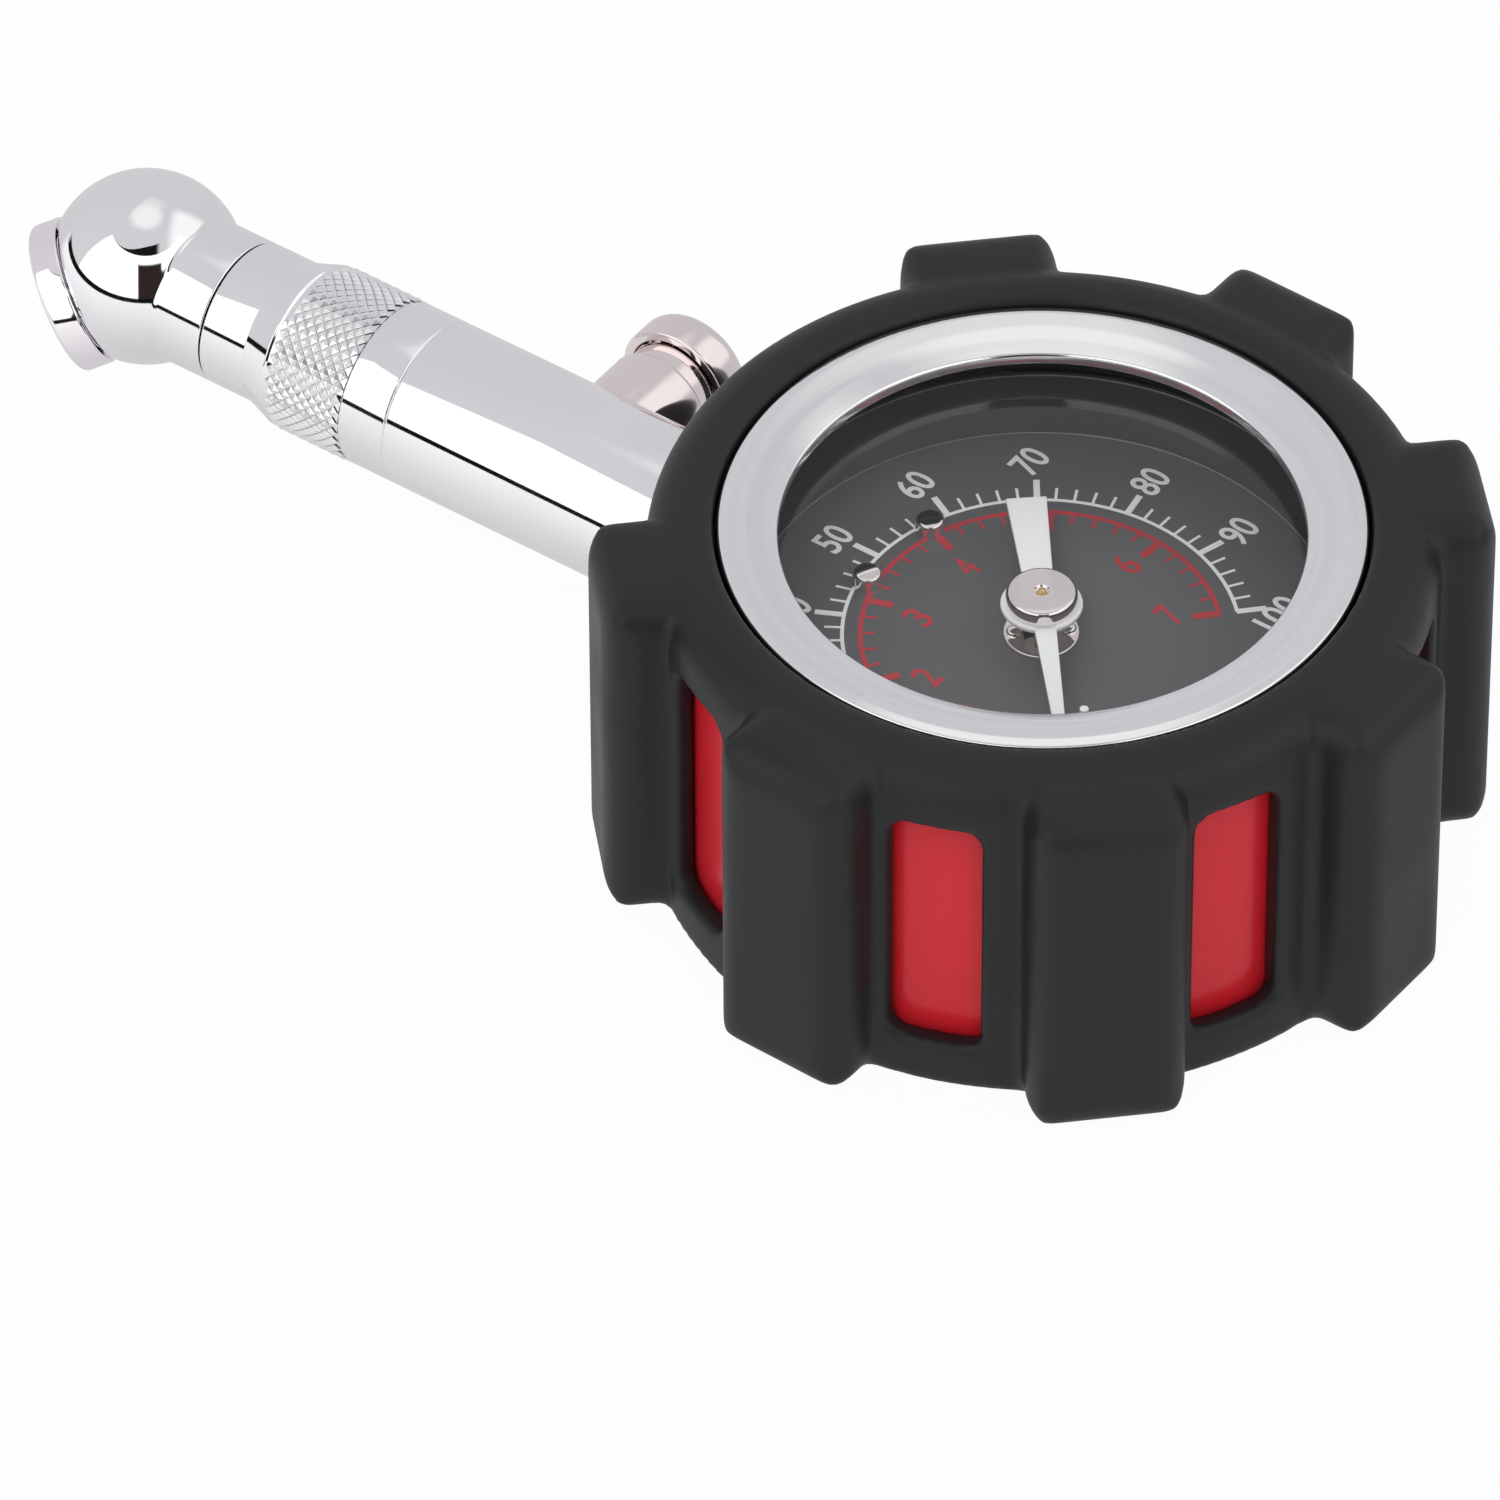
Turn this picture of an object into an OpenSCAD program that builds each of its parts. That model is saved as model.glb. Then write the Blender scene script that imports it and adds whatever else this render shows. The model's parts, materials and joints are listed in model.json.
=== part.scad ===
// Dial tyre pressure gauge in a rubber boot, with a swivelling 45 degree chuck and a bleeder valve.
// Millimetres. The dial's axis is Z and the dial faces +Z, the boot's back lies on z = 0,
// and the stem leaves the case along +Y, which is the dial's twelve o'clock.

/* [Case] */
// Outer radius of the steel case
case_r = 28.7; // [27:0.1:32]
// Wall of the case
case_wall = 1.5; // [1.2:0.1:2]
// Width of the case's thick rim round the dial and the bezel
case_rim_w = 3.4; // [2.8:0.1:4]
// Thickness of the case's back
case_back_t = 1.2; // [0.8:0.1:2.5]
// Room for the movement, from the case's back to the dial
movement_room = 15.8; // [15.4:0.1:22]
// Width of the ledge that carries the dial
ledge_w = 1; // [0.6:0.1:1.4]
// Thickness of that ledge
ledge_t = 1.5; // [0.6:0.1:1.6]

/* [Boot] */
// Wall of the rubber boot round the case
boot_wall = 1.9; // [1.6:0.1:5]
// Thickness of the boot's closed back
boot_floor = 2; // [1:0.1:5]
// Thickness of the lip over the case's rim
boot_lip_t = 2.8; // [1:0.1:4]
// Gap between the bezel and the lip over the case's rim
boot_lip_gap = 0.4; // [0.2:0.1:1.5]
// Radius of the rim's outer edge
boot_shoulder_r = 3.4; // [1:0.1:3.6]
// Radius of the wall's bottom edge
boot_foot_r = 0.6; // [0.3:0.1:1.5]
// Places round the boot, one of them taken by the stem
lug_places = 8; // [6:1:9]
// Turn of the boot on the case, from its even place about the stem
boot_turn = -1.2; // [-3:0.1:3]
// How far a lug stands out of the boot's wall
lug_out = 4.2; // [3:0.1:8]
// Width of a lug
lug_w = 12.4; // [8:0.1:14]
// Radius of a lug's upright corners
lug_r = 2.8; // [1:0.1:3.5]
// Radius of a lug's top edge
lug_shoulder_r = 3; // [2:0.1:3.4]
// Radius of a lug's bottom edges
lug_foot_r = 2.4; // [1:0.1:3]
// Drop from the boot's top to a lug's outer edge
lug_drop = 0.3; // [0.2:0.1:8]
// Turn of the windows from the middle between two lugs
window_turn = -2; // [-2.5:0.1:2.5]
// Width of a window between two lugs
window_w = 7.2; // [4:0.1:7.6]
// Height of the window's sill
window_sill = 4.5; // [3.5:0.1:8]
// Height of the rim left above the window
window_head = 5.3; // [3.6:0.1:8]
// Radius of the window's corners
window_r = 1.2; // [0.3:0.1:1.5]

/* [Bezel and lens] */
// Gap round the bezel, inside the case
bezel_fit = 0.3; // [0.1:0.05:0.8]
// Width of the bezel's face
bezel_w = 4.5; // [2.5:0.1:6]
// Height of the bezel's crown over the gasket
bezel_h = 2.3; // [2.2:0.1:6]
// Wall of the bezel's skirt inside the case
skirt_t = 0.7; // [0.5:0.05:1]
// Thickness of the lens
lens_t = 2; // [1:0.1:4]
// Thickness of the gasket between lens and bezel
gasket_t = 1.5; // [0.6:0.1:3]
// Width of that gasket
gasket_w = 2.6; // [1.5:0.1:3.6]
// Height of the dish ring between dial and lens
dish_h = 6.2; // [4.8:0.1:10]
// Wall of the dish ring
dish_wall = 1; // [0.6:0.1:2]

/* [Dial] */
// Thickness of the dial plate
dial_t = 1; // [0.5:0.1:1.5]
// Radius of a dial peg
peg_r = 1.15; // [0.6:0.05:1.2]
// Height of a dial peg
peg_h = 1.3; // [1:0.1:1.9]
// Radius on which the two pegs stand
peg_ring_r = 14.7; // [12:0.1:18]
// Angle of the left peg from +X
peg_left = 102; // [95:1:120]
// Angle of the right peg from +X
peg_right = 71; // [60:1:85]
// Radius of the bush's flange on the dial
bush_flange_r = 3; // [2.6:0.1:4]
// Distance of the bush's rivets from the dial's centre
rivet_off = 2.15; // [2.1:0.05:2.3]
// Angle of the line through the two rivets, from +X
rivet_turn = 130; // [0:1:180]

/* [Pointer] */
// Angle of the pointer at rest, from +X
pointer_zero = 220.5; // [180:0.5:270]
// Radius on which the zero stop stands
stop_ring_r = 11.7; // [9:0.1:13]
// Length of the pointer's tip
tip_len = 14.5; // [10:0.1:18]
// Length of the pointer's tail
tail_len = 12.1; // [6:0.1:16]
// Width of the tip at the hub
tip_w = 1.9; // [1:0.1:2.5]
// Width of the tip at its end
tip_end_w = 0.9; // [0.4:0.1:1.5]
// Width of the tail at the hub
tail_w = 2.1; // [1:0.1:3]
// Width of the tail at its end
tail_end_w = 3.2; // [1.5:0.1:5]
// Thickness of the pointer
pointer_t = 0.4; // [0.2:0.05:0.6]
// Gap between the dial and the pointer
pointer_gap = 3; // [2.1:0.1:3]
// Radius of the pointer's hub disc
hub_r = 3.2; // [2.9:0.1:4]
// Radius of the cap on the hub
hub_cap_r = 2.8; // [1.5:0.1:2.8]
// Height of the cap on the hub
hub_cap_h = 1.3; // [1:0.1:2]

/* [Movement] */
// Thickness of the two movement plates
plate_t = 1; // [0.6:0.1:1.2]
// Radius of the movement plates round the arbors
plate_r = 5.8; // [5.6:0.1:6.2]
// Gap between the movement plates
plate_gap = 4.8; // [4.4:0.1:5.2]
// Thickness of the tongue that carries the movement
tongue_t = 1.6; // [1:0.1:1.7]
// Width of that tongue
tongue_w = 9; // [8:0.1:11]
// Radius of the movement posts
post_r = 0.8; // [0.7:0.05:0.85]
// Module of the sector and pinion teeth
gear_module = 0.3; // [0.28:0.005:0.305]
// Teeth on the pinion
pinion_teeth = 10; // [10:1:10]
// Teeth on a full circle of the sector
sector_teeth = 60; // [60:1:60]
// Radius of the two arbors
arbor_r = 0.5; // [0.35:0.05:0.55]
// Face width of the sector
sector_t = 0.8; // [0.5:0.05:0.85]
// Length of the sector's tail
tail_arm = 5; // [4:0.1:5.2]
// Width of the link
link_w = 1.8; // [1.2:0.1:2]
// Thickness of the link
link_t = 0.5; // [0.3:0.05:0.55]
// Turns of the hairspring
hair_turns = 3; // [2:1:4]
// Thickness of the hairspring's strip
hair_t = 0.14; // [0.08:0.01:0.16]

/* [Bourdon tube] */
// Mean radius of the tube's curve
tube_ring_r = 18; // [17.7:0.1:18.5]
// Thickness of the flattened tube
tube_t = 2.2; // [1.6:0.1:2.4]
// Width of the flattened tube
tube_w = 6.8; // [4:0.1:7]
// Wall of the tube
tube_wall = 0.4; // [0.2:0.05:0.6]
// Angle of the tube's free end from +X
tube_tip_angle = 330; // [315:1:335]
// Width of the socket block
block_w = 12; // [10:0.1:13]
// Height of the socket block
block_h = 8.1; // [7.6:0.1:8.1]
// Distance from the dial's axis to the socket block
block_y = 11.5; // [10.5:0.1:13]

/* [Stem] */
// Outer radius of the stem and collar
stem_r = 7; // [6.6:0.1:8.5]
// Height of the stem's axis
stem_z = 13.4; // [13.1:0.1:13.4]
// Distance from the dial's axis to the stem's front end
stem_end = 58.7; // [57:0.1:70]
// Radius of the stem's neck in the case and socket block
neck_in_r = 3; // [2.6:0.1:3.2]
// Radius of the stem's air passage
passage_r = 1.5; // [1.2:0.1:1.6]
// Radius of the stem's valve chamber
chamber_r = 2.6; // [2.4:0.1:3]
// Length of the valve chamber behind the stem's front end
chamber_len = 11.2; // [10:0.1:11.8]
// Radius of the stem's threaded end in the collar
thread_r = 5; // [4.6:0.1:5.4]
// Length of that threaded end
thread_len = 6; // [4:0.1:6.4]

/* [Check valve] */
// Length of the seat bush
seat_len = 3; // [2:0.1:4]
// Radius of the hole in the seat bush
seat_hole_r = 1.1; // [0.6:0.1:1.4]
// Radius of the poppet's head
poppet_r = 2; // [1.7:0.1:2.2]
// Length of the poppet's head
poppet_head = 1.3; // [0.8:0.1:1.6]
// Radius of the poppet's guide rod
poppet_rod_r = 0.9; // [0.5:0.1:1]
// How far the poppet lifts
poppet_lift = 1.2; // [0.5:0.1:1.6]

/* [Collar and swivel] */
// Length of the knurled collar
collar_len = 18.7; // [18:0.1:24]
// Plain length of the collar before its knurl
collar_plain = 4.2; // [2:0.1:5]
// Length of the knurled band
knurl_len = 7.7; // [6:0.1:9]
// Length of the cone down to the neck
flare_len = 2.6; // [1.5:0.1:3.5]
// Radius of the neck on both sides of the swivel
neck_r = 6.1; // [5:0.05:6.4]
// Radius of the swivel's spigot
spigot_r = 3.44; // [3:0.02:3.6]
// Length of the swivel's spigot
spigot_len = 11.4; // [10.8:0.1:11.8]
// Gap of the swivel's visible joint
swivel_gap = 0.15; // [0.05:0.05:0.3]

/* [Chuck] */
// Radius of the chuck's ball
ball_r = 7.9; // [7.2:0.1:9]
// Distance from the swivel joint to the ball's centre
ball_off = 9.6; // [9:0.1:12]
// Angle between the chuck's mouth and the stem
chuck_angle = 45; // [30:1:60]
// Turn of the chuck about the stem at rest
chuck_turn = -33.5; // [-90:0.5:90]
// Distance from the ball's centre to its flat
ball_flat = 5; // [4.6:0.1:5.4]
// Radius of the foot ring
foot_r = 6.2; // [5.6:0.1:7]
// Thickness of the foot ring
foot_t = 2.45; // [1.5:0.05:4]
// Gap between the ball's flat and the foot ring
foot_gap = 0.3; // [0.1:0.05:0.5]
// Radius of the hole for the tyre valve
valve_hole_r = 4.05; // [3.95:0.05:4.3]
// Radius of the recess in the ball
recess_r = 5; // [4.8:0.05:5.1]
// Length of the foot ring's thread in that recess
foot_thread = 2.2; // [1.5:0.1:2.6]
// Thickness of the chuck's rubber seal
seal_t = 2.1; // [1.2:0.1:2.4]
// Radius of the hole in the seal
seal_hole_r = 2.3; // [1.5:0.1:3]
// Thickness of the depressor's disc
depressor_t = 0.8; // [0.5:0.1:1.2]
// Radius of the depressor's pin
depressor_r = 0.7; // [0.5:0.05:1]

/* [Bleeder valve] */
// Distance from the dial's axis to the bleeder valve
bleed_y = 44.4; // [40:0.1:45]
// Radius of the boss
boss_r = 4.45; // [4.2:0.05:4.6]
// Distance from the stem's axis to the boss's shoulder
boss_out = 11; // [10.5:0.1:14]
// Radius of the boss's thread in the stem
boss_thread_r = 2.85; // [2.4:0.05:3]
// Radius of the boss's slim end
boss_end_r = 4; // [3.1:0.05:4.1]
// Length of the boss's slim end
boss_end = 2.1; // [2:0.1:3]
// Radius of the button
button_r = 5; // [4.5:0.05:5.6]
// Length of the button outside the boss's slim end
button_len = 4.1; // [3:0.1:5]
// Travel of the button
button_travel = 1.5; // [0.8:0.1:1.5]
// Radius of the button's rod
rod_r = 0.9; // [0.6:0.05:1]
// Radius of the spring pocket in the boss
pocket_r = 2.6; // [2.3:0.05:2.7]
// Wire radius of the two valve springs
wire_r = 0.2; // [0.15:0.01:0.25]

/* [Hidden] */

$fn = 96;
cut = 1;            // how far a cutter runs past a face
seat_fit = 0.05;    // gap between fixed pieces that fit in each other
run_fit = 0.06;     // gap round a turning or sliding shaft
press_fit = 0.02;   // gap round a shaft that a piece is pressed on
edge_r = 0.4;       // small rounded edges
fine_edge = 0.2;    // finer rounded edges
pin_fn = 48;        // facets of pins
hole_fn = 32;       // facets of screws, rivets and their holes

// Gaps of the stacked pieces
rim_drop = 0.3;     // from the bezel's underside down to the case's rim
boot_fit = 0.1;     // round the case and the stem, inside the boot
glass_fit = 0.1;    // round the lens, gasket and dish ring
dial_fit = 0.2;     // round the dial plate
skirt_gap = 0.3;    // from the dial up to the bezel's skirt

// Heights of the stacked pieces
back_z = boot_floor + case_back_t;
dial_under_z = back_z + movement_room;
dial_z = dial_under_z + dial_t;
dish_top_z = dial_z + dish_h;
lens_top_z = dish_top_z + lens_t;
gasket_top_z = lens_top_z + gasket_t;
case_rim_z = gasket_top_z - rim_drop;
boot_top_z = case_rim_z + seat_fit + boot_lip_t;
pointer_z = dial_z + pointer_gap;
cap_z = pointer_z + pointer_t;

// Radii of the stacked pieces
body_in_r = case_r - case_wall;
case_in_r = case_r - case_rim_w;
ledge_r = case_in_r - ledge_w;
boot_in_r = case_r + boot_fit;
boot_r = boot_in_r + boot_wall;
lug_apothem = boot_r + lug_out;
bezel_r = case_in_r - bezel_fit;
skirt_in_r = bezel_r - skirt_t;
glass_r = skirt_in_r - glass_fit;
dish_in_r = glass_r - dish_wall;
dial_r = case_in_r - dial_fit;

// Places round the boot
lug_step = 360 / lug_places;
lug_angles = [for (i = [1:lug_places - 1]) 90 + boot_turn + lug_step * i];
window_angles = [for (a = lug_angles) if (a != lug_angles[0]) a - lug_step / 2 + window_turn];
lug_top_z = boot_top_z - lug_drop;
lug_crest_z = boot_top_z - 0.2;
lug_root_r = boot_in_r + 0.6;
lug_crest_in = 0.7;
lip_edge_r = 0.6;
case_foot_r = 1;
crown_r = 0.8;

// Dial's centre, its rivets, pegs and stop
sleeve_r = 1.55;
bush_flange_t = 0.4;
bush_under = 0.4;
bush_fit = 0.1;
rivet_r = 0.4;
rivet_head_r = 0.6;
rivet_head_h = 0.35;
rivet_tail_r = 0.55;
rivet_tail_h = 0.3;
peg_shank_r = peg_r * 0.6;
peg_edge_r = 0.25;
stop_turn = 10.5;
stop_r = 0.35;
stop_h = pointer_gap - 0.3;

// Pointer's hub and cap
point_len = 0.3;
tab_w = 0.8;
tab_drop = 0.7;
hub_boss_r = 1.4;
hub_boss_h = 1;
cap_edge_r = 0.5;
cap_bore = 0.85;
dimple_r = 0.65;
dimple_up = 0.35;
arbor_top_z = cap_z + cap_bore - seat_fit;

// Movement: the pinion turns on the dial's axis and the sector on an arbor below it
tongue_gap = 0.8;
tongue_z = back_z + tongue_gap;
plate_z = tongue_z + tongue_t;
post_z = plate_z + plate_t;
front_plate_z = post_z + plate_gap;
pinion_pitch_r = gear_module * pinion_teeth / 2;
sector_pitch_r = gear_module * sector_teeth / 2;
sector_y = -(pinion_pitch_r + sector_pitch_r);
gear_ratio = sector_teeth / pinion_teeth;
pointer_sweep = 270;
sector_sweep = pointer_sweep / gear_ratio;
sector_up = 1.4;
sector_z = post_z + sector_up;
pinion_over = 0.4;
pinion_t = sector_t + 2 * pinion_over;
pinion_z = sector_z - pinion_over;
arbor_in = 0.1;
arbor_foot_z = plate_z + arbor_in;
addendum = 0.85 * gear_module;
dedendum = 1.25 * gear_module;
pinion_root_w = 1.45 * gear_module;
pinion_tip_w = 0.5 * gear_module;
sector_root_w = 1.75 * gear_module;
sector_tip_w = 0.6 * gear_module;
tooth_foot = 0.2;
spare_teeth = 2;
post_top = [4, 2.4];
post_low = [4.6, sector_y - 0.5];
post_places = [for (s = [-1, 1], p = [post_top, post_low]) [s * p[0], p[1]]];
post_screw_r = 0.4;
post_screw_in = 2;
post_screw_head_r = 1;
plate_screw_x = 3;
plate_screw_y = -5.5;
plate_screw_places = [for (s = [-1, 1]) [s * plate_screw_x, plate_screw_y]];
plate_screw_r = 0.6;
plate_screw_head_r = 1.1;
screw_head_h = 0.7;
screw_slot_w = 0.3;
tail_angle = -90 - sector_sweep / 2;
tail_pin = [tail_arm * cos(tail_angle), sector_y + tail_arm * sin(tail_angle)];
link_gap = 0.15;
link_z = sector_z + sector_t + link_gap;
tube_tip_pin = [tube_ring_r * cos(tube_tip_angle), tube_ring_r * sin(tube_tip_angle)];
link_run = tube_tip_pin - tail_pin;
link_pin_r = 0.5;
link_pin_over = link_gap * 2;
link_eye_wall = 0.2;
link_post_r = 0.6;
link_post_gap = 0.1;
sector_hub_r = 1.6;
tail_half_w = 1;
tail_eye_r = 1.2;
hair_in_r = 1.35;
hair_out_r = 3.3;
hair_w = 0.6;
hair_up = 0.7;
hair_sides = 24;
hair_z = pinion_z + pinion_t + hair_up;
collet_r = hair_in_r - 0.25;
collet_over = 0.3;
stud_r = 0.45;
stud_gap = 0.1;
stud_at = hair_out_r + hair_t / 2 + stud_gap + stud_r;

// Bourdon tube and socket block
tube_root_angle = 104;
slot_end_angle = 112;
tube_side_flat = 0.1;
tube_round = (tube_t - tube_side_flat) / 2;
tip_cap_turn = 7;
tip_plug_turn = 4;
tip_cap_wall = 0.3;
tip_plug_fit = 0.03;
block_top_z = stem_z + block_h / 2;
block_hole_in = 1;
block_hole_y = tube_ring_r - block_hole_in;
port_r = 0.7;
port_y = block_hole_y + port_r + 0.2;
tongue_web = 4.5;
tongue_over = 3.5;
arbor_room_r = 1;

// Stem, valve chamber and collar along Y
saddle_r = case_r + seat_fit;
saddle_in = 4;
neck_fit = 0.1;
neck_in_y = block_hole_y + 2;
plug_len = 2.5;
plug_y = neck_in_y + 0.2;
plug_hole_r = 0.25;
chamber_y = stem_end - chamber_len;
seat_in = 2.7;
seat_y = stem_end - seat_in;
poppet_gap = 0.1;
poppet_y = seat_y - poppet_gap;
rod_spare = 1.9;
rod_end_y = chamber_y + poppet_lift + rod_spare;
thread_end_y = stem_end + thread_len;
collar_end_y = stem_end + collar_len;
knurl_y = stem_end + collar_plain;
flare_y = knurl_y + knurl_len;
neck_y = flare_y + flare_len;
collar_bore_r = spigot_r + run_fit;
head_y = collar_end_y + swivel_gap;
spigot_end_y = collar_end_y - spigot_len;
ring_t = 0.7;
ring_in = 0.6;
ring_y = spigot_end_y + ring_in;
ring_gap = 0.3;
ring_wall = 0.5;
ring_split = 2;
shoulder_y = ring_y + ring_t + ring_gap;
ring_groove_r = spigot_r - 0.6;
oring_r = 0.34;
oring_fit = 0.02;
oring_mid_r = spigot_r - oring_r + oring_fit;
oring_groove_w = 1;
oring_off = 5;
oring_y = shoulder_y + oring_off;
groove_r = 0.2;
joint_edge_r = 0.15;
head_neck_in = 4;
ball_y = head_y + ball_off;

// Chuck mouth, measured from the ball's centre along the mouth's axis
foot_base = ball_flat + foot_gap;
foot_face = foot_base + foot_t;
foot_thread_end = foot_base - foot_thread;
seal_gap = 0.15;
seal_top = foot_thread_end - seal_gap;
disc_top = seal_top - seal_t - seat_fit;
recess_floor = disc_top - depressor_t - seat_fit;
thread_fit = 0.1;
foot_thread_r = recess_r - thread_fit;
seal_r = recess_r - 0.15;
vent_r = 0.55;
vent_ring_r = 1.7;

// Bleeder valve along X
boss_end_x = boss_out + boss_end;
boss_in_x = 2.6;
boss_saddle_in = 3;
rod_fit = 0.1;
boss_bore_r = rod_r + rod_fit;
pocket_in = 3.1;
pocket_x = boss_out - pocket_in;
hole_floor_x = -1;
button_stand = 1.9;
button_x = boss_out + button_stand;
button_top_x = button_x + button_len;
button_edge_r = 1.5;
stop_gap = 0.2;
ceiling_x = boss_end_x + button_travel + stop_gap;
skirt_fit = 0.15;
skirt_bore_r = boss_end_r + skirt_fit;
dome_h = 0.8;
seal_disc_r = 1.8;
seal_disc_t = 0.95;
rod_tip = 0.55;
rod_tip_r = rod_r + 0.4;
seal_in_x = boss_in_x - seat_fit;
seal_out_x = seal_in_x - seal_disc_t;
rod_end_x = seal_out_x - rod_tip;

// Springs
ring_sides = 6;
rings_per_curl = 8;
check_coil_gap = 0.4;
check_spring_r = poppet_rod_r + check_coil_gap + wire_r;
check_curls = 6;
bleed_coil_gap = 0.6;
bleed_spring_r = rod_r + bleed_coil_gap + wire_r;
bleed_curls = 6;

// ---- Helpers ----

// A rectangle from [x0, y0] to [x1, y1] whose four corners have the given radii, from the lower left round
module round_box(x0, y0, x1, y1, radii) {
    difference() {
        translate([x0, y0]) square([x1 - x0, y1 - y0]);
        corner_cut(x0, y0, 1, 1, radii[0]);
        corner_cut(x1, y0, -1, 1, radii[1]);
        corner_cut(x1, y1, -1, -1, radii[2]);
        corner_cut(x0, y1, 1, -1, radii[3]);
    }
}

// What a round of radius r takes off the corner at [x, y]; sx and sy point into the material
module corner_cut(x, y, sx, sy, r) {
    if (r > 0)
        difference() {
            translate([x + sx * (r - cut) / 2, y + sy * (r - cut) / 2]) square(r + cut, center = true);
            translate([x + sx * r, y + sy * r]) circle(r);
        }
}

// A cylinder along +Y from y0 to y1 on the stem's axis
module along_stem(r, y0, y1) {
    translate([0, y0, stem_z]) rotate([-90, 0, 0]) cylinder(r = r, h = y1 - y0);
}

// A profile drawn as [radius, distance along Y], turned about the stem's axis
module turned_on_stem() {
    translate([0, 0, stem_z]) rotate([-90, 0, 0]) rotate_extrude() children();
}

// A cylinder along +X from x0 to x1 on the bleeder valve's axis
module along_bleeder(r, x0, x1) {
    translate([x0, bleed_y, stem_z]) rotate([0, 90, 0]) cylinder(r = r, h = x1 - x0);
}

// A profile drawn as [radius, distance along X], turned about the bleeder valve's axis
module turned_on_bleeder() {
    translate([0, bleed_y, stem_z]) rotate([0, 90, 0]) rotate_extrude() children();
}

// Puts children drawn along +Z on the axis of the chuck's mouth, with z = 0 at the ball's centre
module on_mouth() {
    translate([0, ball_y, stem_z]) rotate([0, chuck_turn, 0]) rotate([-90, 0, chuck_angle]) children();
}

// A cylinder along the mouth's axis from t0 to t1
module along_mouth(r, t0, t1) {
    on_mouth() translate([0, 0, t0]) cylinder(r = r, h = t1 - t0);
}

// A gear tooth that stands on +X, as wide at the pitch radius as half a pitch less the backlash
module tooth(root_r, tip_r, root_w, tip_w) {
    foot_r = root_r - tooth_foot;
    polygon([[foot_r, -root_w / 2], [tip_r, -tip_w / 2], [tip_r, tip_w / 2], [foot_r, root_w / 2]]);
}

// Centre line of a coil spring: a straight end of one wire diameter, the curls, and another straight end
function coil_rings(r, pitch, curls) = [
    for (i = [0:curls * rings_per_curl])
        let (a = 360 * i / rings_per_curl) [a, pitch * i / rings_per_curl, 0],
];

// Corner j of the ring at place k = [angle, height, run along the tangent]
function coil_corner(k, j, r, pitch) =
    let (lead = atan2(pitch, 2 * PI * r),
         a = k[0],
         q = 360 * j / ring_sides,
         out = [cos(a), sin(a), 0],
         along = [-sin(a) * cos(lead), cos(a) * cos(lead), sin(lead)],
         up = cross(out, along))
    out * (r + wire_r * cos(q)) + up * wire_r * sin(q) + along * k[2] + [0, 0, k[1]];

// Least gap between two neighbouring curls, on points of the centre line
function coil_gap(r, pitch) =
    min([for (i = [1:2 * rings_per_curl])
        let (a = 180 * i / rings_per_curl + 180,
             here = [r, 0, 0],
             there = [r * cos(a), r * sin(a), pitch * a / 360])
        norm(there - here)]) - 2 * wire_r;

// A coil spring of the given length over its wire, standing on z = 0, as one unbroken tube
module coil(r, length, curls, name) {
    pitch = (length - 2 * wire_r) / curls;
    middle = coil_rings(r, pitch, curls);
    last = middle[len(middle) - 1];
    places = concat([[0, 0, -2 * wire_r]], middle, [[last[0], last[1], 2 * wire_r]]);
    n = len(places);
    points = [for (k = places, j = [0:ring_sides - 1]) coil_corner(k, j, r, pitch)];
    sides = [
        for (i = [0:n - 2], j = [0:ring_sides - 1])
            let (a = i * ring_sides + j, b = i * ring_sides + (j + 1) % ring_sides)
            each [[a, a + ring_sides, b], [b, a + ring_sides, b + ring_sides]]
    ];
    first_cap = [for (j = [1:ring_sides - 2]) [0, j, j + 1]];
    top = (n - 1) * ring_sides;
    last_cap = [for (j = [1:ring_sides - 2]) [top, top + j + 1, top + j]];
    echo(str(name, " spring's least gap between curls, mm: ", coil_gap(r, pitch)));
    translate([0, 0, wire_r]) polyhedron(points, concat(sides, first_cap, last_cap));
}

// ---- Boot, case and face ----

// The lug that points along +X
module lug() {
    slope_z = lug_top_z - 1;
    intersection() {
        linear_extrude(boot_top_z)
            round_box(lug_root_r, -lug_w / 2, lug_apothem, lug_w / 2, [0, lug_r, lug_r, 0]);
        rotate([90, 0, 0]) translate([0, 0, -lug_w / 2]) linear_extrude(lug_w)
            union() {
                round_box(boot_in_r, 0, lug_apothem, lug_top_z, [0, lug_foot_r, lug_shoulder_r, 0]);
                polygon([
                    [boot_in_r, slope_z],
                    [lug_apothem - lug_shoulder_r, slope_z],
                    [lug_apothem - lug_shoulder_r * 0.6, lug_top_z - fine_edge],
                    [boot_r - lug_crest_in, lug_crest_z],
                    [boot_in_r, lug_crest_z]
                ]);
            }
        rotate([90, 0, 90]) linear_extrude(lug_apothem)
            round_box(-lug_w / 2, 0, lug_w / 2, lug_crest_z, [lug_foot_r, lug_foot_r, lug_r, lug_r]);
    }
}

module rubber_boot() {
    lip_r = bezel_r + boot_lip_gap;
    color("#303032")
        difference() {
            union() {
                rotate_extrude() round_box(0, 0, boot_r, boot_top_z, [0, boot_foot_r, boot_shoulder_r, 0]);
                for (a = lug_angles) rotate([0, 0, a]) lug();
            }
            translate([0, 0, boot_floor]) cylinder(r = boot_in_r, h = case_rim_z + seat_fit - boot_floor);
            translate([0, 0, boot_floor]) cylinder(r = lip_r, h = boot_top_z);
            rotate_extrude() corner_cut(lip_r, boot_top_z, 1, -1, lip_edge_r);
            along_stem(stem_r + boot_fit, 0, boot_r + cut);
            for (a = window_angles)
                rotate([90, 0, a + 90]) translate([0, 0, boot_in_r - cut]) linear_extrude(boot_wall + 2 * cut)
                    round_box(-window_w / 2, window_sill, window_w / 2, boot_top_z - window_head,
                              [window_r, window_r, window_r, window_r]);
        }
}

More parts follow.
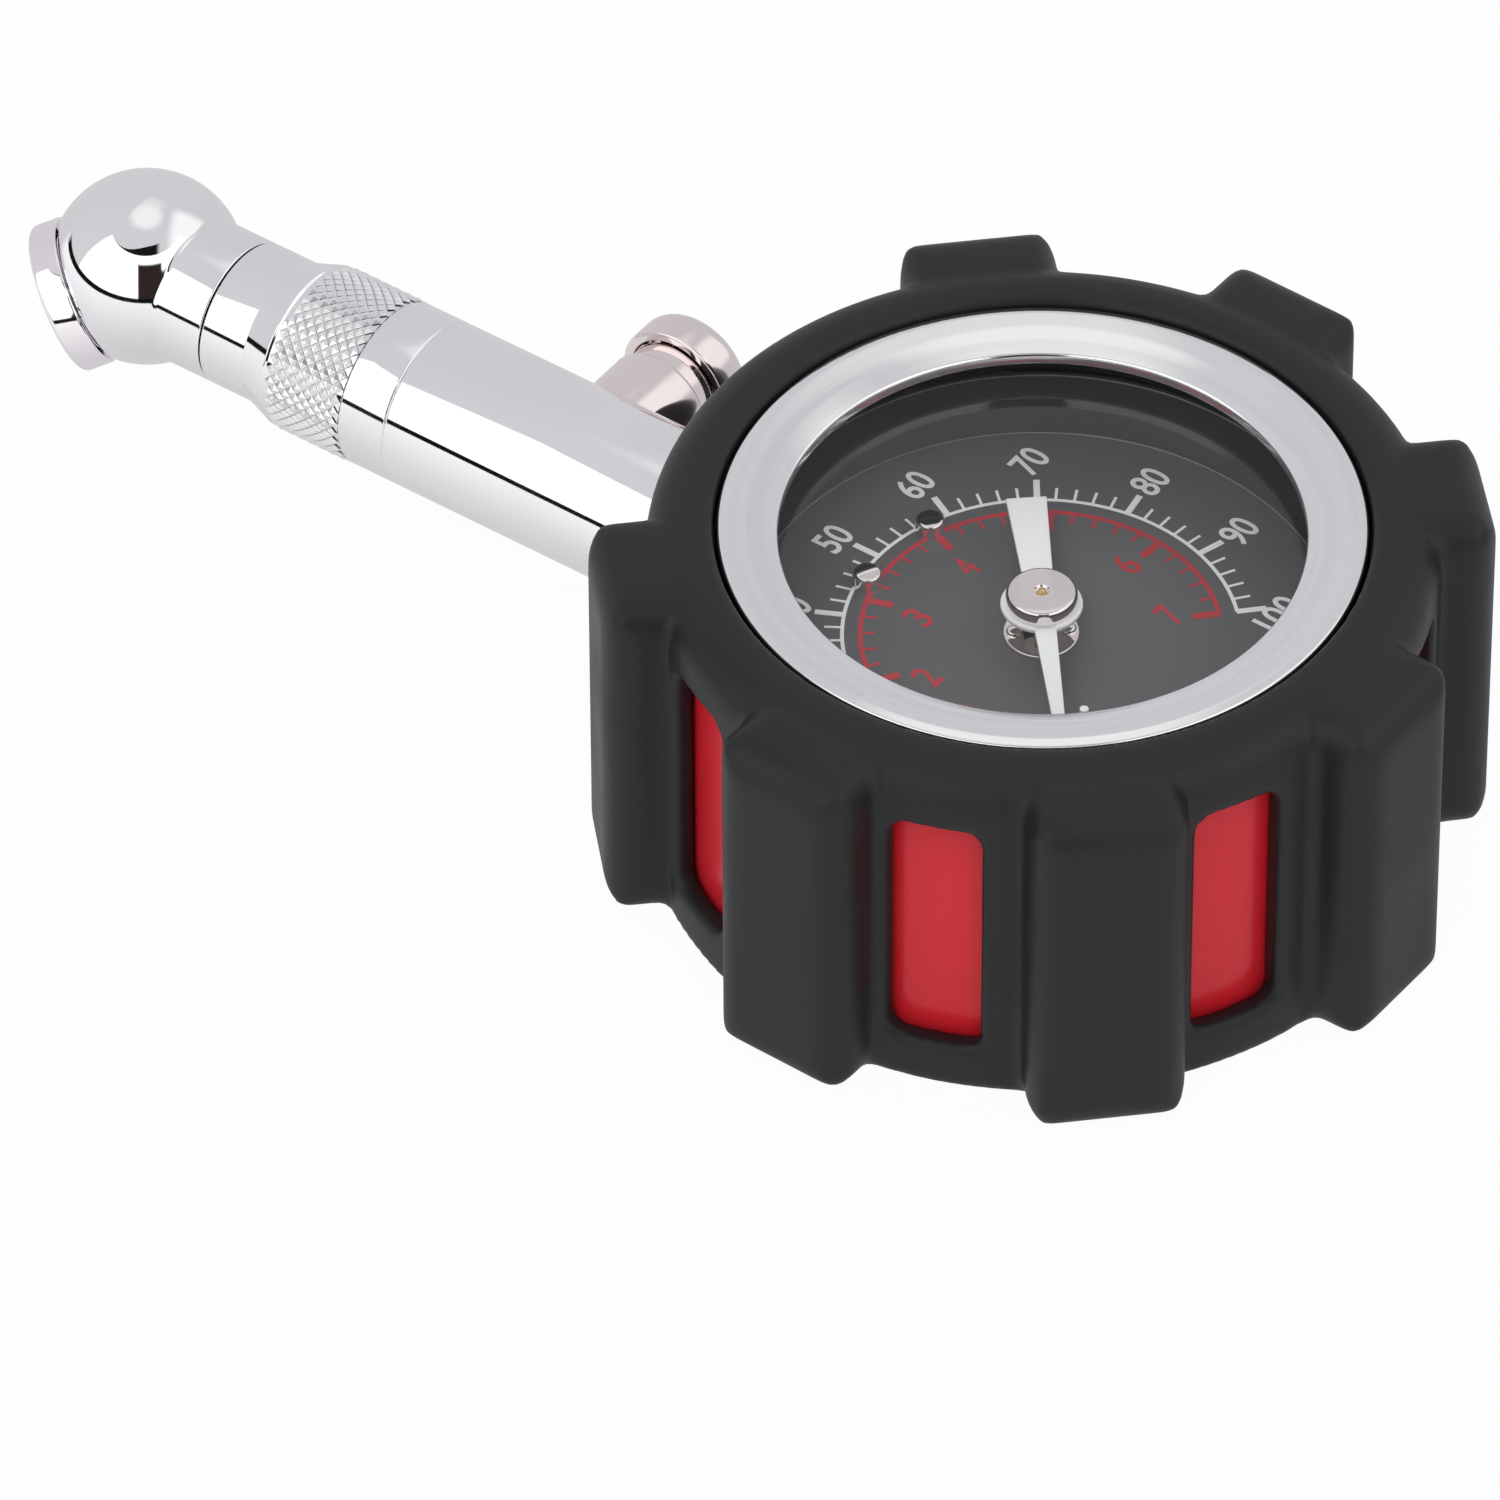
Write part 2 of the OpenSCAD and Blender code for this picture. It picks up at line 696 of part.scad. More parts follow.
module case_shell() {
    color("#b4141c")
        difference() {
            rotate_extrude()
                round_box(0, boot_floor, case_r, case_rim_z, [0, case_foot_r, edge_r, 0]);
            translate([0, 0, back_z]) cylinder(r = ledge_r, h = case_rim_z);
            translate([0, 0, back_z])
                cylinder(r = body_in_r, h = dial_under_z - ledge_t - back_z);
            translate([0, 0, dial_under_z]) cylinder(r = case_in_r, h = case_rim_z);
            along_stem(neck_in_r + neck_fit, 0, case_r + cut);
        }
}

module bezel_ring() {
    top_r = min(crown_r, bezel_w / 2 - fine_edge);
    color("silver")
        rotate_extrude() {
            round_box(bezel_r - bezel_w, gasket_top_z, bezel_r, gasket_top_z + bezel_h,
                      [fine_edge, 0, top_r, top_r]);
            translate([skirt_in_r, dial_z + skirt_gap]) square([skirt_t, gasket_top_z - dial_z + cut]);
        }
}

module lens() {
    color("white", 0.3) translate([0, 0, dish_top_z]) cylinder(r = glass_r, h = lens_t);
}

module lens_gasket() {
    color("#18181a")
        translate([0, 0, lens_top_z])
            difference() {
                cylinder(r = glass_r, h = gasket_t);
                translate([0, 0, -cut]) cylinder(r = glass_r - gasket_w, h = gasket_t + 2 * cut);
            }
}

module dish_ring() {
    color("#4a4a4c")
        rotate_extrude() round_box(dish_in_r, dial_z, glass_r, dish_top_z, [0, 0, 0, edge_r]);
}

module dial_plate() {
    through = dial_t + 2 * cut;
    color("#3e3e40")
        translate([0, 0, dial_under_z])
            difference() {
                cylinder(r = dial_r, h = dial_t);
                translate([0, 0, -cut]) {
                    cylinder(r = sleeve_r + seat_fit, h = through);
                    rivets_at() cylinder(r = rivet_r + seat_fit, h = through, $fn = hole_fn);
                    for (a = [peg_left, peg_right])
                        rotate([0, 0, a]) translate([peg_ring_r, 0, 0])
                            cylinder(r = peg_shank_r + seat_fit, h = through, $fn = hole_fn);
                    zero_stop_at() cylinder(r = stop_r + seat_fit, h = through, $fn = hole_fn);
                }
            }
}

module dial_pegs() {
    color("silver")
        for (a = [peg_left, peg_right])
            rotate([0, 0, a]) translate([peg_ring_r, 0, 0]) {
                translate([0, 0, dial_under_z]) cylinder(r = peg_shank_r, h = dial_t + edge_r, $fn = pin_fn);
                translate([0, 0, dial_z]) rotate_extrude($fn = pin_fn)
                    round_box(0, 0, peg_r, peg_h, [0, 0, peg_edge_r, 0]);
            }
}

// The places of the bush's two rivets
module rivets_at() {
    for (s = [-1, 1])
        rotate([0, 0, rivet_turn]) translate([s * rivet_off, 0, 0]) children();
}

// The stop pin's place beside the pointer's tip
module zero_stop_at() {
    rotate([0, 0, pointer_zero + stop_turn]) translate([stop_ring_r, 0, 0]) children();
}

module zero_stop() {
    color("white")
        zero_stop_at() translate([0, 0, dial_under_z])
            cylinder(r = stop_r, h = dial_t + stop_h, $fn = pin_fn);
}

module dial_bush() {
    color("silver")
        difference() {
            union() {
                translate([0, 0, dial_under_z - bush_under])
                    cylinder(r = sleeve_r, h = bush_under + dial_t + bush_flange_t / 2);
                translate([0, 0, dial_z]) cylinder(r = bush_flange_r, h = bush_flange_t);
            }
            translate([0, 0, dial_under_z - cut]) cylinder(r = arbor_r + bush_fit, h = dial_t + 3 * cut);
            rivets_at() translate([0, 0, dial_z - cut / 2])
                cylinder(r = rivet_r + seat_fit, h = 2 * cut, $fn = hole_fn);
        }
}

module dial_rivets() {
    shank = rivet_tail_h / 2 + dial_t + bush_flange_t + rivet_head_h / 2;
    color("silver")
        rivets_at() {
            translate([0, 0, dial_under_z - rivet_tail_h])
                cylinder(r = rivet_tail_r, h = rivet_tail_h, $fn = hole_fn);
            translate([0, 0, dial_under_z - rivet_tail_h / 2])
                cylinder(r = rivet_r, h = shank, $fn = hole_fn);
            translate([0, 0, dial_z + bush_flange_t]) rotate_extrude($fn = hole_fn)
                round_box(0, 0, rivet_head_r, rivet_head_h, [0, 0, fine_edge, 0]);
        }
}

// ---- Pointer ----

module needle() {
    color("white")
        difference() {
            union() {
                rotate([0, 0, pointer_zero]) {
                    translate([0, 0, pointer_z]) linear_extrude(pointer_t)
                        polygon([
                            [0, -tip_w / 2], [tip_len - point_len, -tip_end_w / 2], [tip_len, 0],
                            [tip_len - point_len, tip_end_w / 2], [0, tip_w / 2],
                            [0, tail_w / 2], [-tail_len, tail_end_w / 2],
                            [-tail_len, -tail_end_w / 2], [0, -tail_w / 2]
                        ]);
                    translate([stop_ring_r - tab_w / 2, -tab_w / 2, pointer_z - tab_drop])
                        cube([tab_w, tab_w, tab_drop + pointer_t / 2]);
                }
                translate([0, 0, pointer_z]) cylinder(r = hub_r, h = pointer_t);
                translate([0, 0, pointer_z - hub_boss_h])
                    cylinder(r = hub_boss_r, h = hub_boss_h + pointer_t / 2);
            }
            translate([0, 0, pointer_z - 2 * cut])
                cylinder(r = arbor_r + press_fit, h = 4 * cut, $fn = pin_fn);
        }
}

module hub_cap() {
    color("silver")
        translate([0, 0, cap_z])
            difference() {
                rotate_extrude() round_box(0, 0, hub_cap_r, hub_cap_h, [0, 0, cap_edge_r, 0]);
                translate([0, 0, -cut]) cylinder(r = arbor_r + press_fit, h = cut + cap_bore, $fn = pin_fn);
                translate([0, 0, hub_cap_h + dimple_up]) sphere(dimple_r, $fn = pin_fn);
            }
}

module pinion_shaft() {
    root_r = pinion_pitch_r - dedendum;
    color("#c8a858") {
        translate([0, 0, arbor_foot_z]) cylinder(r = arbor_r, h = arbor_top_z - arbor_foot_z, $fn = pin_fn);
        translate([0, 0, pinion_z]) linear_extrude(pinion_t) {
            circle(root_r, $fn = pin_fn);
            for (i = [0:pinion_teeth - 1])
                rotate(-90 + 360 * i / pinion_teeth)
                    tooth(root_r, pinion_pitch_r + addendum, pinion_root_w, pinion_tip_w);
        }
        translate([0, 0, pinion_z + pinion_t])
            cylinder(r = collet_r, h = hair_up + hair_w + collet_over, $fn = pin_fn);
    }
}

// ---- Movement ----

// Corner i of the hairspring at radius r
function spiral_point(i, r) = let (a = 360 * i / hair_sides) r * [sin(a), cos(a)];

module hairspring() {
    steps = hair_turns * hair_sides;
    grow = (hair_out_r - hair_in_r) / steps;
    inner = [for (i = [0:steps]) spiral_point(i, hair_in_r + grow * i - hair_t / 2)];
    outer = [for (i = [steps:-1:0]) spiral_point(i, hair_in_r + grow * i + hair_t / 2)];
    color("#8fa0b8") translate([0, 0, hair_z]) linear_extrude(hair_w) polygon(concat(inner, outer));
}

module hairspring_stud() {
    color("#c8a858")
        translate([0, stud_at, hair_z - stud_gap])
            cylinder(r = stud_r, h = front_plate_z - hair_z + stud_gap, $fn = pin_fn);
}

// The outline of both movement plates
module plate_outline() {
    circle(plate_r);
    translate([0, sector_y]) circle(plate_r);
    translate([-plate_r, sector_y]) square([2 * plate_r, -sector_y]);
}

module arbor_holes() {
    for (y = [0, sector_y]) translate([0, y]) circle(arbor_r + run_fit, $fn = pin_fn);
}

module movement_back_plate() {
    color("#c8a858")
        translate([0, 0, plate_z]) linear_extrude(plate_t)
            difference() {
                plate_outline();
                arbor_holes();
                for (p = plate_screw_places) translate(p) circle(plate_screw_r + seat_fit, $fn = hole_fn);
            }
}

module movement_front_plate() {
    color("#c8a858")
        translate([0, 0, front_plate_z]) linear_extrude(plate_t)
            difference() {
                plate_outline();
                arbor_holes();
                for (p = post_places) translate(p) circle(post_screw_r + seat_fit, $fn = hole_fn);
            }
}

module movement_posts() {
    color("#b89848")
        for (p = post_places)
            translate([p[0], p[1], post_z])
                difference() {
                    cylinder(r = post_r, h = plate_gap, $fn = pin_fn);
                    translate([0, 0, plate_gap - post_screw_in - fine_edge])
                        cylinder(r = post_screw_r + seat_fit, h = post_screw_in + cut, $fn = hole_fn);
                }
}

// A slotted cheese-head screw that hangs below z = 0 with its head above
module slotted_screw(shank_r, shank, head_r) {
    translate([0, 0, -shank]) cylinder(r = shank_r, h = shank + screw_head_h / 2, $fn = hole_fn);
    difference() {
        cylinder(r = head_r, h = screw_head_h, $fn = hole_fn);
        translate([0, 0, screw_head_h])
            cube([2 * head_r + cut, screw_slot_w, screw_head_h], center = true);
    }
}

module movement_screws() {
    color("#9a9a9c") {
        for (p = post_places)
            translate([p[0], p[1], front_plate_z + plate_t])
                slotted_screw(post_screw_r, plate_t + post_screw_in, post_screw_head_r);
        for (p = plate_screw_places)
            translate([p[0], p[1], plate_z + plate_t])
                slotted_screw(plate_screw_r, plate_t + tongue_t - fine_edge, plate_screw_head_r);
    }
}

module sector_gear() {
    root_r = sector_pitch_r - dedendum;
    web_turn = 3;
    web_reach = 1.3 * root_r;
    window_at = 0.58 * root_r;
    sector_window_r = 0.19 * root_r;
    tooth_step = 360 / sector_teeth;
    first = 90 + tooth_step * (spare_teeth - 0.5);
    count = sector_sweep / tooth_step + 2 * spare_teeth;
    last = first - tooth_step * (floor(count) - 1);
    color("#c8a858")
        translate([0, sector_y, 0]) {
            translate([0, 0, arbor_foot_z])
                cylinder(r = arbor_r, h = front_plate_z + plate_t - arbor_in - arbor_foot_z, $fn = pin_fn);
            translate([0, 0, sector_z]) linear_extrude(sector_t) {
                circle(sector_hub_r, $fn = pin_fn);
                difference() {
                    intersection() {
                        circle(root_r);
                        polygon([
                            [0, 0],
                            web_reach * [cos(last - web_turn), sin(last - web_turn)],
                            2 * web_reach * [cos((first + last) / 2), sin((first + last) / 2)],
                            web_reach * [cos(first + web_turn), sin(first + web_turn)]
                        ]);
                    }
                    rotate((first + last) / 2) translate([window_at, 0]) circle(sector_window_r);
                }
                for (a = [last:tooth_step:first])
                    rotate(a) tooth(root_r, sector_pitch_r + addendum, sector_root_w, sector_tip_w);
                rotate(tail_angle) {
                    translate([0, -tail_half_w]) square([tail_arm, 2 * tail_half_w]);
                    translate([tail_arm, 0]) circle(tail_eye_r, $fn = pin_fn);
                }
            }
            rotate([0, 0, tail_angle]) translate([tail_arm, 0, sector_z])
                cylinder(r = link_pin_r, h = sector_t + link_t + link_pin_over, $fn = pin_fn);
        }
}

module drive_link() {
    reach = norm(link_run);
    post_top_z = stem_z - tube_w / 2 - tip_cap_wall - link_post_gap;
    color("#b0b0b2")
        translate([tail_pin[0], tail_pin[1], 0]) rotate([0, 0, atan2(link_run[1], link_run[0])]) {
            translate([0, 0, link_z]) linear_extrude(link_t)
                difference() {
                    union() {
                        circle(link_w / 2 + link_eye_wall, $fn = pin_fn);
                        translate([0, -link_w / 2]) square([reach, link_w]);
                        translate([reach, 0]) circle(link_w / 2, $fn = pin_fn);
                    }
                    circle(link_pin_r + run_fit, $fn = pin_fn);
                }
            translate([reach, 0, link_z - link_pin_over])
                cylinder(r = link_post_r, h = post_top_z - link_z + link_pin_over, $fn = pin_fn);
        }
}

// The flattened tube's outline, grown by the given amount
module tube_outline(grow) {
    r = max(tube_round + grow, 0.2);
    round_box(tube_ring_r - tube_t / 2 - grow, stem_z - tube_w / 2 - grow,
              tube_ring_r + tube_t / 2 + grow, stem_z + tube_w / 2 + grow, [r, r, r, r]);
}

// Sweeps children round the dial's axis between two angles
module tube_sweep(from, to) {
    rotate([0, 0, from]) rotate_extrude(angle = to - from) children();
}

module bourdon_tube() {
    color("#c8923c")
        tube_sweep(tube_root_angle, tube_tip_angle)
            difference() {
                tube_outline(0);
                tube_outline(-tube_wall);
            }
}

module tube_tip() {
    color("#c8a858") {
        tube_sweep(tube_tip_angle, tube_tip_angle + tip_cap_turn) tube_outline(tip_cap_wall);
        tube_sweep(tube_tip_angle - tip_plug_turn, tube_tip_angle + 1)
            tube_outline(-tube_wall - tip_plug_fit);
    }
}

module socket_block() {
    color("#c8a858")
        difference() {
            union() {
                intersection() {
                    translate([-block_w / 2, block_y, stem_z - block_h / 2])
                        cube([block_w, case_r - block_y, block_h]);
                    cylinder(r = body_in_r - seat_fit, h = block_top_z + cut);
                }
                translate([-tongue_w / 2, sector_y - tongue_over, tongue_z])
                    cube([tongue_w, block_y + tongue_web - sector_y + tongue_over, tongue_t]);
                translate([-tongue_w / 2, block_y, tongue_z])
                    cube([tongue_w, tongue_web, stem_z - tongue_z - cut]);
            }
            along_stem(neck_in_r + seat_fit, block_hole_y, case_r);
            translate([0, port_y, stem_z]) rotate([0, -90, 0])
                cylinder(r = port_r, h = block_w / 2, $fn = pin_fn);
            tube_sweep(tube_root_angle - 1, slot_end_angle) tube_outline(seat_fit);
            for (p = plate_screw_places)
                translate([p[0], p[1], tongue_z - cut])
                    cylinder(r = plate_screw_r + seat_fit, h = tongue_t + 2 * cut, $fn = hole_fn);
            translate([0, 0, tongue_z - cut])
                cylinder(r = arbor_room_r, h = tongue_t + 2 * cut, $fn = hole_fn);
        }
}

// ---- Stem and check valve ----

module stem_tube() {
    color("silver")
        difference() {
            union() {
                difference() {
                    along_stem(stem_r, saddle_r - saddle_in, stem_end);
                    cylinder(r = saddle_r, h = dial_z + 2 * stem_r);
                }
                along_stem(neck_in_r, neck_in_y, saddle_r + cut);
                along_stem(thread_r, stem_end - cut, thread_end_y);
            }
            along_stem(passage_r, neck_in_y - cut, chamber_y + cut / 2);
            along_stem(chamber_r, chamber_y, thread_end_y + cut);
            along_bleeder(boss_thread_r + seat_fit, hole_floor_x, stem_r + cut);
        }
}

module restrictor() {
    color("#c8a858")
        difference() {
            along_stem(passage_r - seat_fit, plug_y, plug_y + plug_len);
            along_stem(plug_hole_r, plug_y - cut, plug_y + plug_len + cut);
        }
}

module check_seat() {
    color("#c8a858")
        difference() {
            along_stem(chamber_r - seat_fit, seat_y, seat_y + seat_len);
            along_stem(seat_hole_r, seat_y - cut, seat_y + seat_len + cut);
        }
}

module check_poppet() {
    color("#2a2a2c") {
        along_stem(poppet_r, poppet_y - poppet_head, poppet_y);
        along_stem(poppet_rod_r, rod_end_y, poppet_y - poppet_head / 2);
    }
}

module check_spring() {
    color("silver")
        translate([0, chamber_y + seat_fit, stem_z]) rotate([-90, 0, 0])
            coil(check_spring_r, poppet_y - poppet_head - chamber_y - 2 * seat_fit, check_curls, "check");
}

// ---- Collar and chuck ----

module knurled_collar() {
    color("silver")
        difference() {
            turned_on_stem() {
                round_box(0, stem_end, stem_r, flare_y, [0, fine_edge, 0, 0]);
                polygon([
                    [0, flare_y - cut / 2], [stem_r, flare_y - cut / 2], [stem_r, flare_y],
                    [neck_r, neck_y], [0, neck_y]
                ]);
                round_box(0, neck_y - cut / 2, neck_r, collar_end_y, [0, 0, joint_edge_r, 0]);
            }
            for (y = [knurl_y, flare_y])
                turned_on_stem() translate([stem_r, y]) circle(groove_r, $fn = hole_fn);
            along_stem(thread_r + thread_fit, stem_end - cut, shoulder_y);
            along_stem(collar_bore_r, shoulder_y - cut, collar_end_y + cut);
        }
}

module chuck_head() {
    color("silver")
        difference() {
            union() {
                translate([0, ball_y, stem_z]) sphere(ball_r);
                turned_on_stem() round_box(0, head_y, neck_r, ball_y - head_neck_in, [0, joint_edge_r, 0, 0]);
                along_stem(spigot_r, spigot_end_y, head_y + cut);
            }
            along_stem(passage_r, spigot_end_y - cut, ball_y + cut);
            along_mouth(ball_r, ball_flat, ball_flat + ball_r);
            along_mouth(recess_r, recess_floor, ball_r);
            turned_on_stem()
                translate([ring_groove_r, ring_y - seat_fit]) square([cut, ring_t + 2 * seat_fit]);
            turned_on_stem()
                translate([oring_mid_r - oring_r - oring_fit, oring_y - oring_groove_w / 2])
                    square([cut, oring_groove_w]);
        }
}

module swivel_ring() {
    color("#18181a") turned_on_stem() translate([oring_mid_r, oring_y]) circle(oring_r, $fn = hole_fn);
}

module retaining_ring() {
    color("#9a9a9c")
        difference() {
            turned_on_stem()
                translate([ring_groove_r + seat_fit, ring_y])
                    square([thread_r - ring_wall - ring_groove_r, ring_t]);
            translate([0, ring_y - cut, stem_z - ring_split / 2])
                cube([2 * thread_r, 2 * cut + ring_t, ring_split]);
        }
}

module chuck_foot() {
    color("#b8aeac")
        on_mouth()
            difference() {
                union() {
                    rotate_extrude() round_box(0, foot_base, foot_r, foot_face, [0, joint_edge_r, edge_r, 0]);
                    translate([0, 0, foot_thread_end]) cylinder(r = foot_thread_r, h = foot_thread + cut);
                }
                translate([0, 0, foot_thread_end - cut])
                    cylinder(r = valve_hole_r, h = foot_thread + foot_t + 2 * cut);
            }
}

module chuck_seal() {
    color("#18181a")
        on_mouth() translate([0, 0, seal_top - seal_t])
            difference() {
                cylinder(r = seal_r, h = seal_t);
                translate([0, 0, -cut]) cylinder(r = seal_hole_r, h = seal_t + 2 * cut);
            }
}

module valve_depressor() {
    color("#c8a858")
        on_mouth() {
            difference() {
                translate([0, 0, disc_top - depressor_t]) cylinder(r = seal_r, h = depressor_t);
                for (a = [0:120:240])
                    rotate([0, 0, a]) translate([vent_ring_r, 0, disc_top - depressor_t - cut])
                        cylinder(r = vent_r, h = depressor_t + 2 * cut, $fn = hole_fn);
            }
            translate([0, 0, disc_top - depressor_t / 2])
                rotate_extrude($fn = pin_fn)
                    round_box(0, 0, depressor_r, depressor_t / 2 + seal_t, [0, 0, depressor_r / 2, 0]);
        }
}

// ---- Bleeder valve ----

module bleed_boss() {
    color("#b8aeac")
        difference() {
            union() {
                difference() {
                    turned_on_bleeder()
                        round_box(0, stem_r - boss_saddle_in, boss_r, boss_out, [0, 0, edge_r, 0]);
                    along_stem(stem_r + seat_fit, 0, stem_end);
                }
                along_bleeder(boss_thread_r, boss_in_x, boss_out);
                turned_on_bleeder()
                    round_box(0, boss_out - cut, boss_end_r, boss_end_x, [0, 0, fine_edge, 0]);
            }
            along_bleeder(boss_bore_r, boss_in_x - cut, boss_end_x + cut);
            along_bleeder(pocket_r, pocket_x, boss_end_x + cut);
        }
}

module bleed_button() {
    color("#b8aeac") {
        difference() {
            turned_on_bleeder()
                difference() {
                    round_box(0, button_x, button_r, button_top_x, [0, fine_edge, button_edge_r, 0]);
                    button_dome_cut();
                }
            along_bleeder(skirt_bore_r, button_x - cut, ceiling_x);
        }
        along_bleeder(rod_r, rod_end_x, ceiling_x + cut / 2);
        along_bleeder(rod_tip_r, rod_end_x, seal_out_x);
    }
}

// What the button's dome takes off a flat top
module button_dome_cut() {
    dome_r = (pow(button_r, 2) + pow(dome_h, 2)) / (2 * dome_h);
    difference() {
        translate([-cut, button_top_x - dome_h]) square([button_r + 2 * cut, dome_h + cut]);
        translate([0, button_top_x - dome_r]) circle(dome_r, $fn = 192);
    }
}

module bleed_seal() {
    color("#18181a")
        difference() {
            along_bleeder(seal_disc_r, seal_out_x, seal_in_x);
            along_bleeder(rod_r, seal_out_x - cut, boss_in_x + cut);
        }
}

module bleed_spring() {
    color("silver")
        translate([pocket_x + seat_fit, bleed_y, stem_z]) rotate([0, 90, 0])
            coil(bleed_spring_r, ceiling_x - pocket_x - 2 * seat_fit, bleed_curls, "bleeder");
}

rubber_boot();
case_shell();
bezel_ring();
lens();
lens_gasket();
dish_ring();
dial_plate();
dial_pegs();
zero_stop();
dial_bush();
dial_rivets();
needle();
hub_cap();
pinion_shaft();
hairspring();
hairspring_stud();
movement_back_plate();
movement_front_plate();
movement_posts();
movement_screws();
sector_gear();
drive_link();
bourdon_tube();
tube_tip();
socket_block();
stem_tube();
restrictor();
check_seat();
check_poppet();
check_spring();
knurled_collar();
chuck_head();
swivel_ring();
retaining_ring();
chuck_foot();
chuck_seal();
valve_depressor();
bleed_boss();
bleed_button();
bleed_seal();
bleed_spring();
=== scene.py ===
"""Visual model of a dial tyre pressure gauge: boot, case, bezel, dial, stem, chuck and bleeder valve.

Sizes are in millimetres and finished meshes are in metres. The dial's axis is Z, the boot's back
lies on z = 0, the stem runs along +Y and the bleeder valve stands out along +X.
"""

import json
import logging
import math
from dataclasses import dataclass, field
from enum import Enum

import bmesh
import bpy
from mathutils import Matrix, Vector

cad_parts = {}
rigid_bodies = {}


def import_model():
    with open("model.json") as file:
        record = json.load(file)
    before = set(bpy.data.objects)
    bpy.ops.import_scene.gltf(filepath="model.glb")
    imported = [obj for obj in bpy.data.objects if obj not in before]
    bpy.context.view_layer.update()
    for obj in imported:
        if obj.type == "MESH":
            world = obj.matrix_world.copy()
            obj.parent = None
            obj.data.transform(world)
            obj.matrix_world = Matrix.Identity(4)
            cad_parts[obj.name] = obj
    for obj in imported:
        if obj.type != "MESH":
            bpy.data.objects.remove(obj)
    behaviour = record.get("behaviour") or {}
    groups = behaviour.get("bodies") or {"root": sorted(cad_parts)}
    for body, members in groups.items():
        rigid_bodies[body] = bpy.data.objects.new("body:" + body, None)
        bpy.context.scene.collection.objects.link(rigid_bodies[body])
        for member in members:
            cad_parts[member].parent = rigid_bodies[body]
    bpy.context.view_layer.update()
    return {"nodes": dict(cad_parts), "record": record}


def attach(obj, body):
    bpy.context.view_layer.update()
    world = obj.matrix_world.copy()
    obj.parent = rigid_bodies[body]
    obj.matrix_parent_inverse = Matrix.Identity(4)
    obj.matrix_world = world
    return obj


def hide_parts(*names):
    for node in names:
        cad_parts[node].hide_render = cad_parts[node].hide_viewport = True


MM = 0.001
TAU = 2 * math.pi
RING_TWIST = 0.7       # how fast a turned ring's noise changes round the ring
STREAK_SHARE = 0.18    # density of the broad streaks beside the fine rings
PATCH_RANGE = (0.35, 0.65)
BUMP_STRENGTH = 0.5
# Near-black painted over the case's red rim: painted shade of the dark gap between the bezel and the boot's lip.
GAP_SHADE_BLACK = (0.004, 0.004, 0.004)
WHITE = (1.0, 1.0, 1.0)
CLOSING_DIGIT = "4"    # its counter closes when its strokes are made heavier
ON_AXIS = 1e-6         # a turned point closer to the axis than this, in millimetres, is one vertex
WELD = 1e-7            # vertices closer than this, in metres, are one
log = logging.getLogger("gauge")

Point = tuple[float, float]
Colour = tuple[float, float, float]


class Slot(Enum):
    """The record's material slots."""

    BOOT_RUBBER = "boot_rubber"
    RED_ENAMEL = "red_enamel"
    CHROME = "bright_chrome"
    LENS = "clear_lens"
    BLACK_RUBBER = "black_rubber"
    DIAL_GREY = "dial_grey"
    WHITE = "pointer_white"
    NICKEL = "nickel"
    BRASS = "brass"
    STEEL = "spring_steel"


class Body(Enum):
    """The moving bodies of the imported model."""

    GAUGE = "gauge"
    POINTER = "pointer"
    CHUCK = "chuck"
    BLEEDER = "bleeder"


# ---- Nodes and materials ----


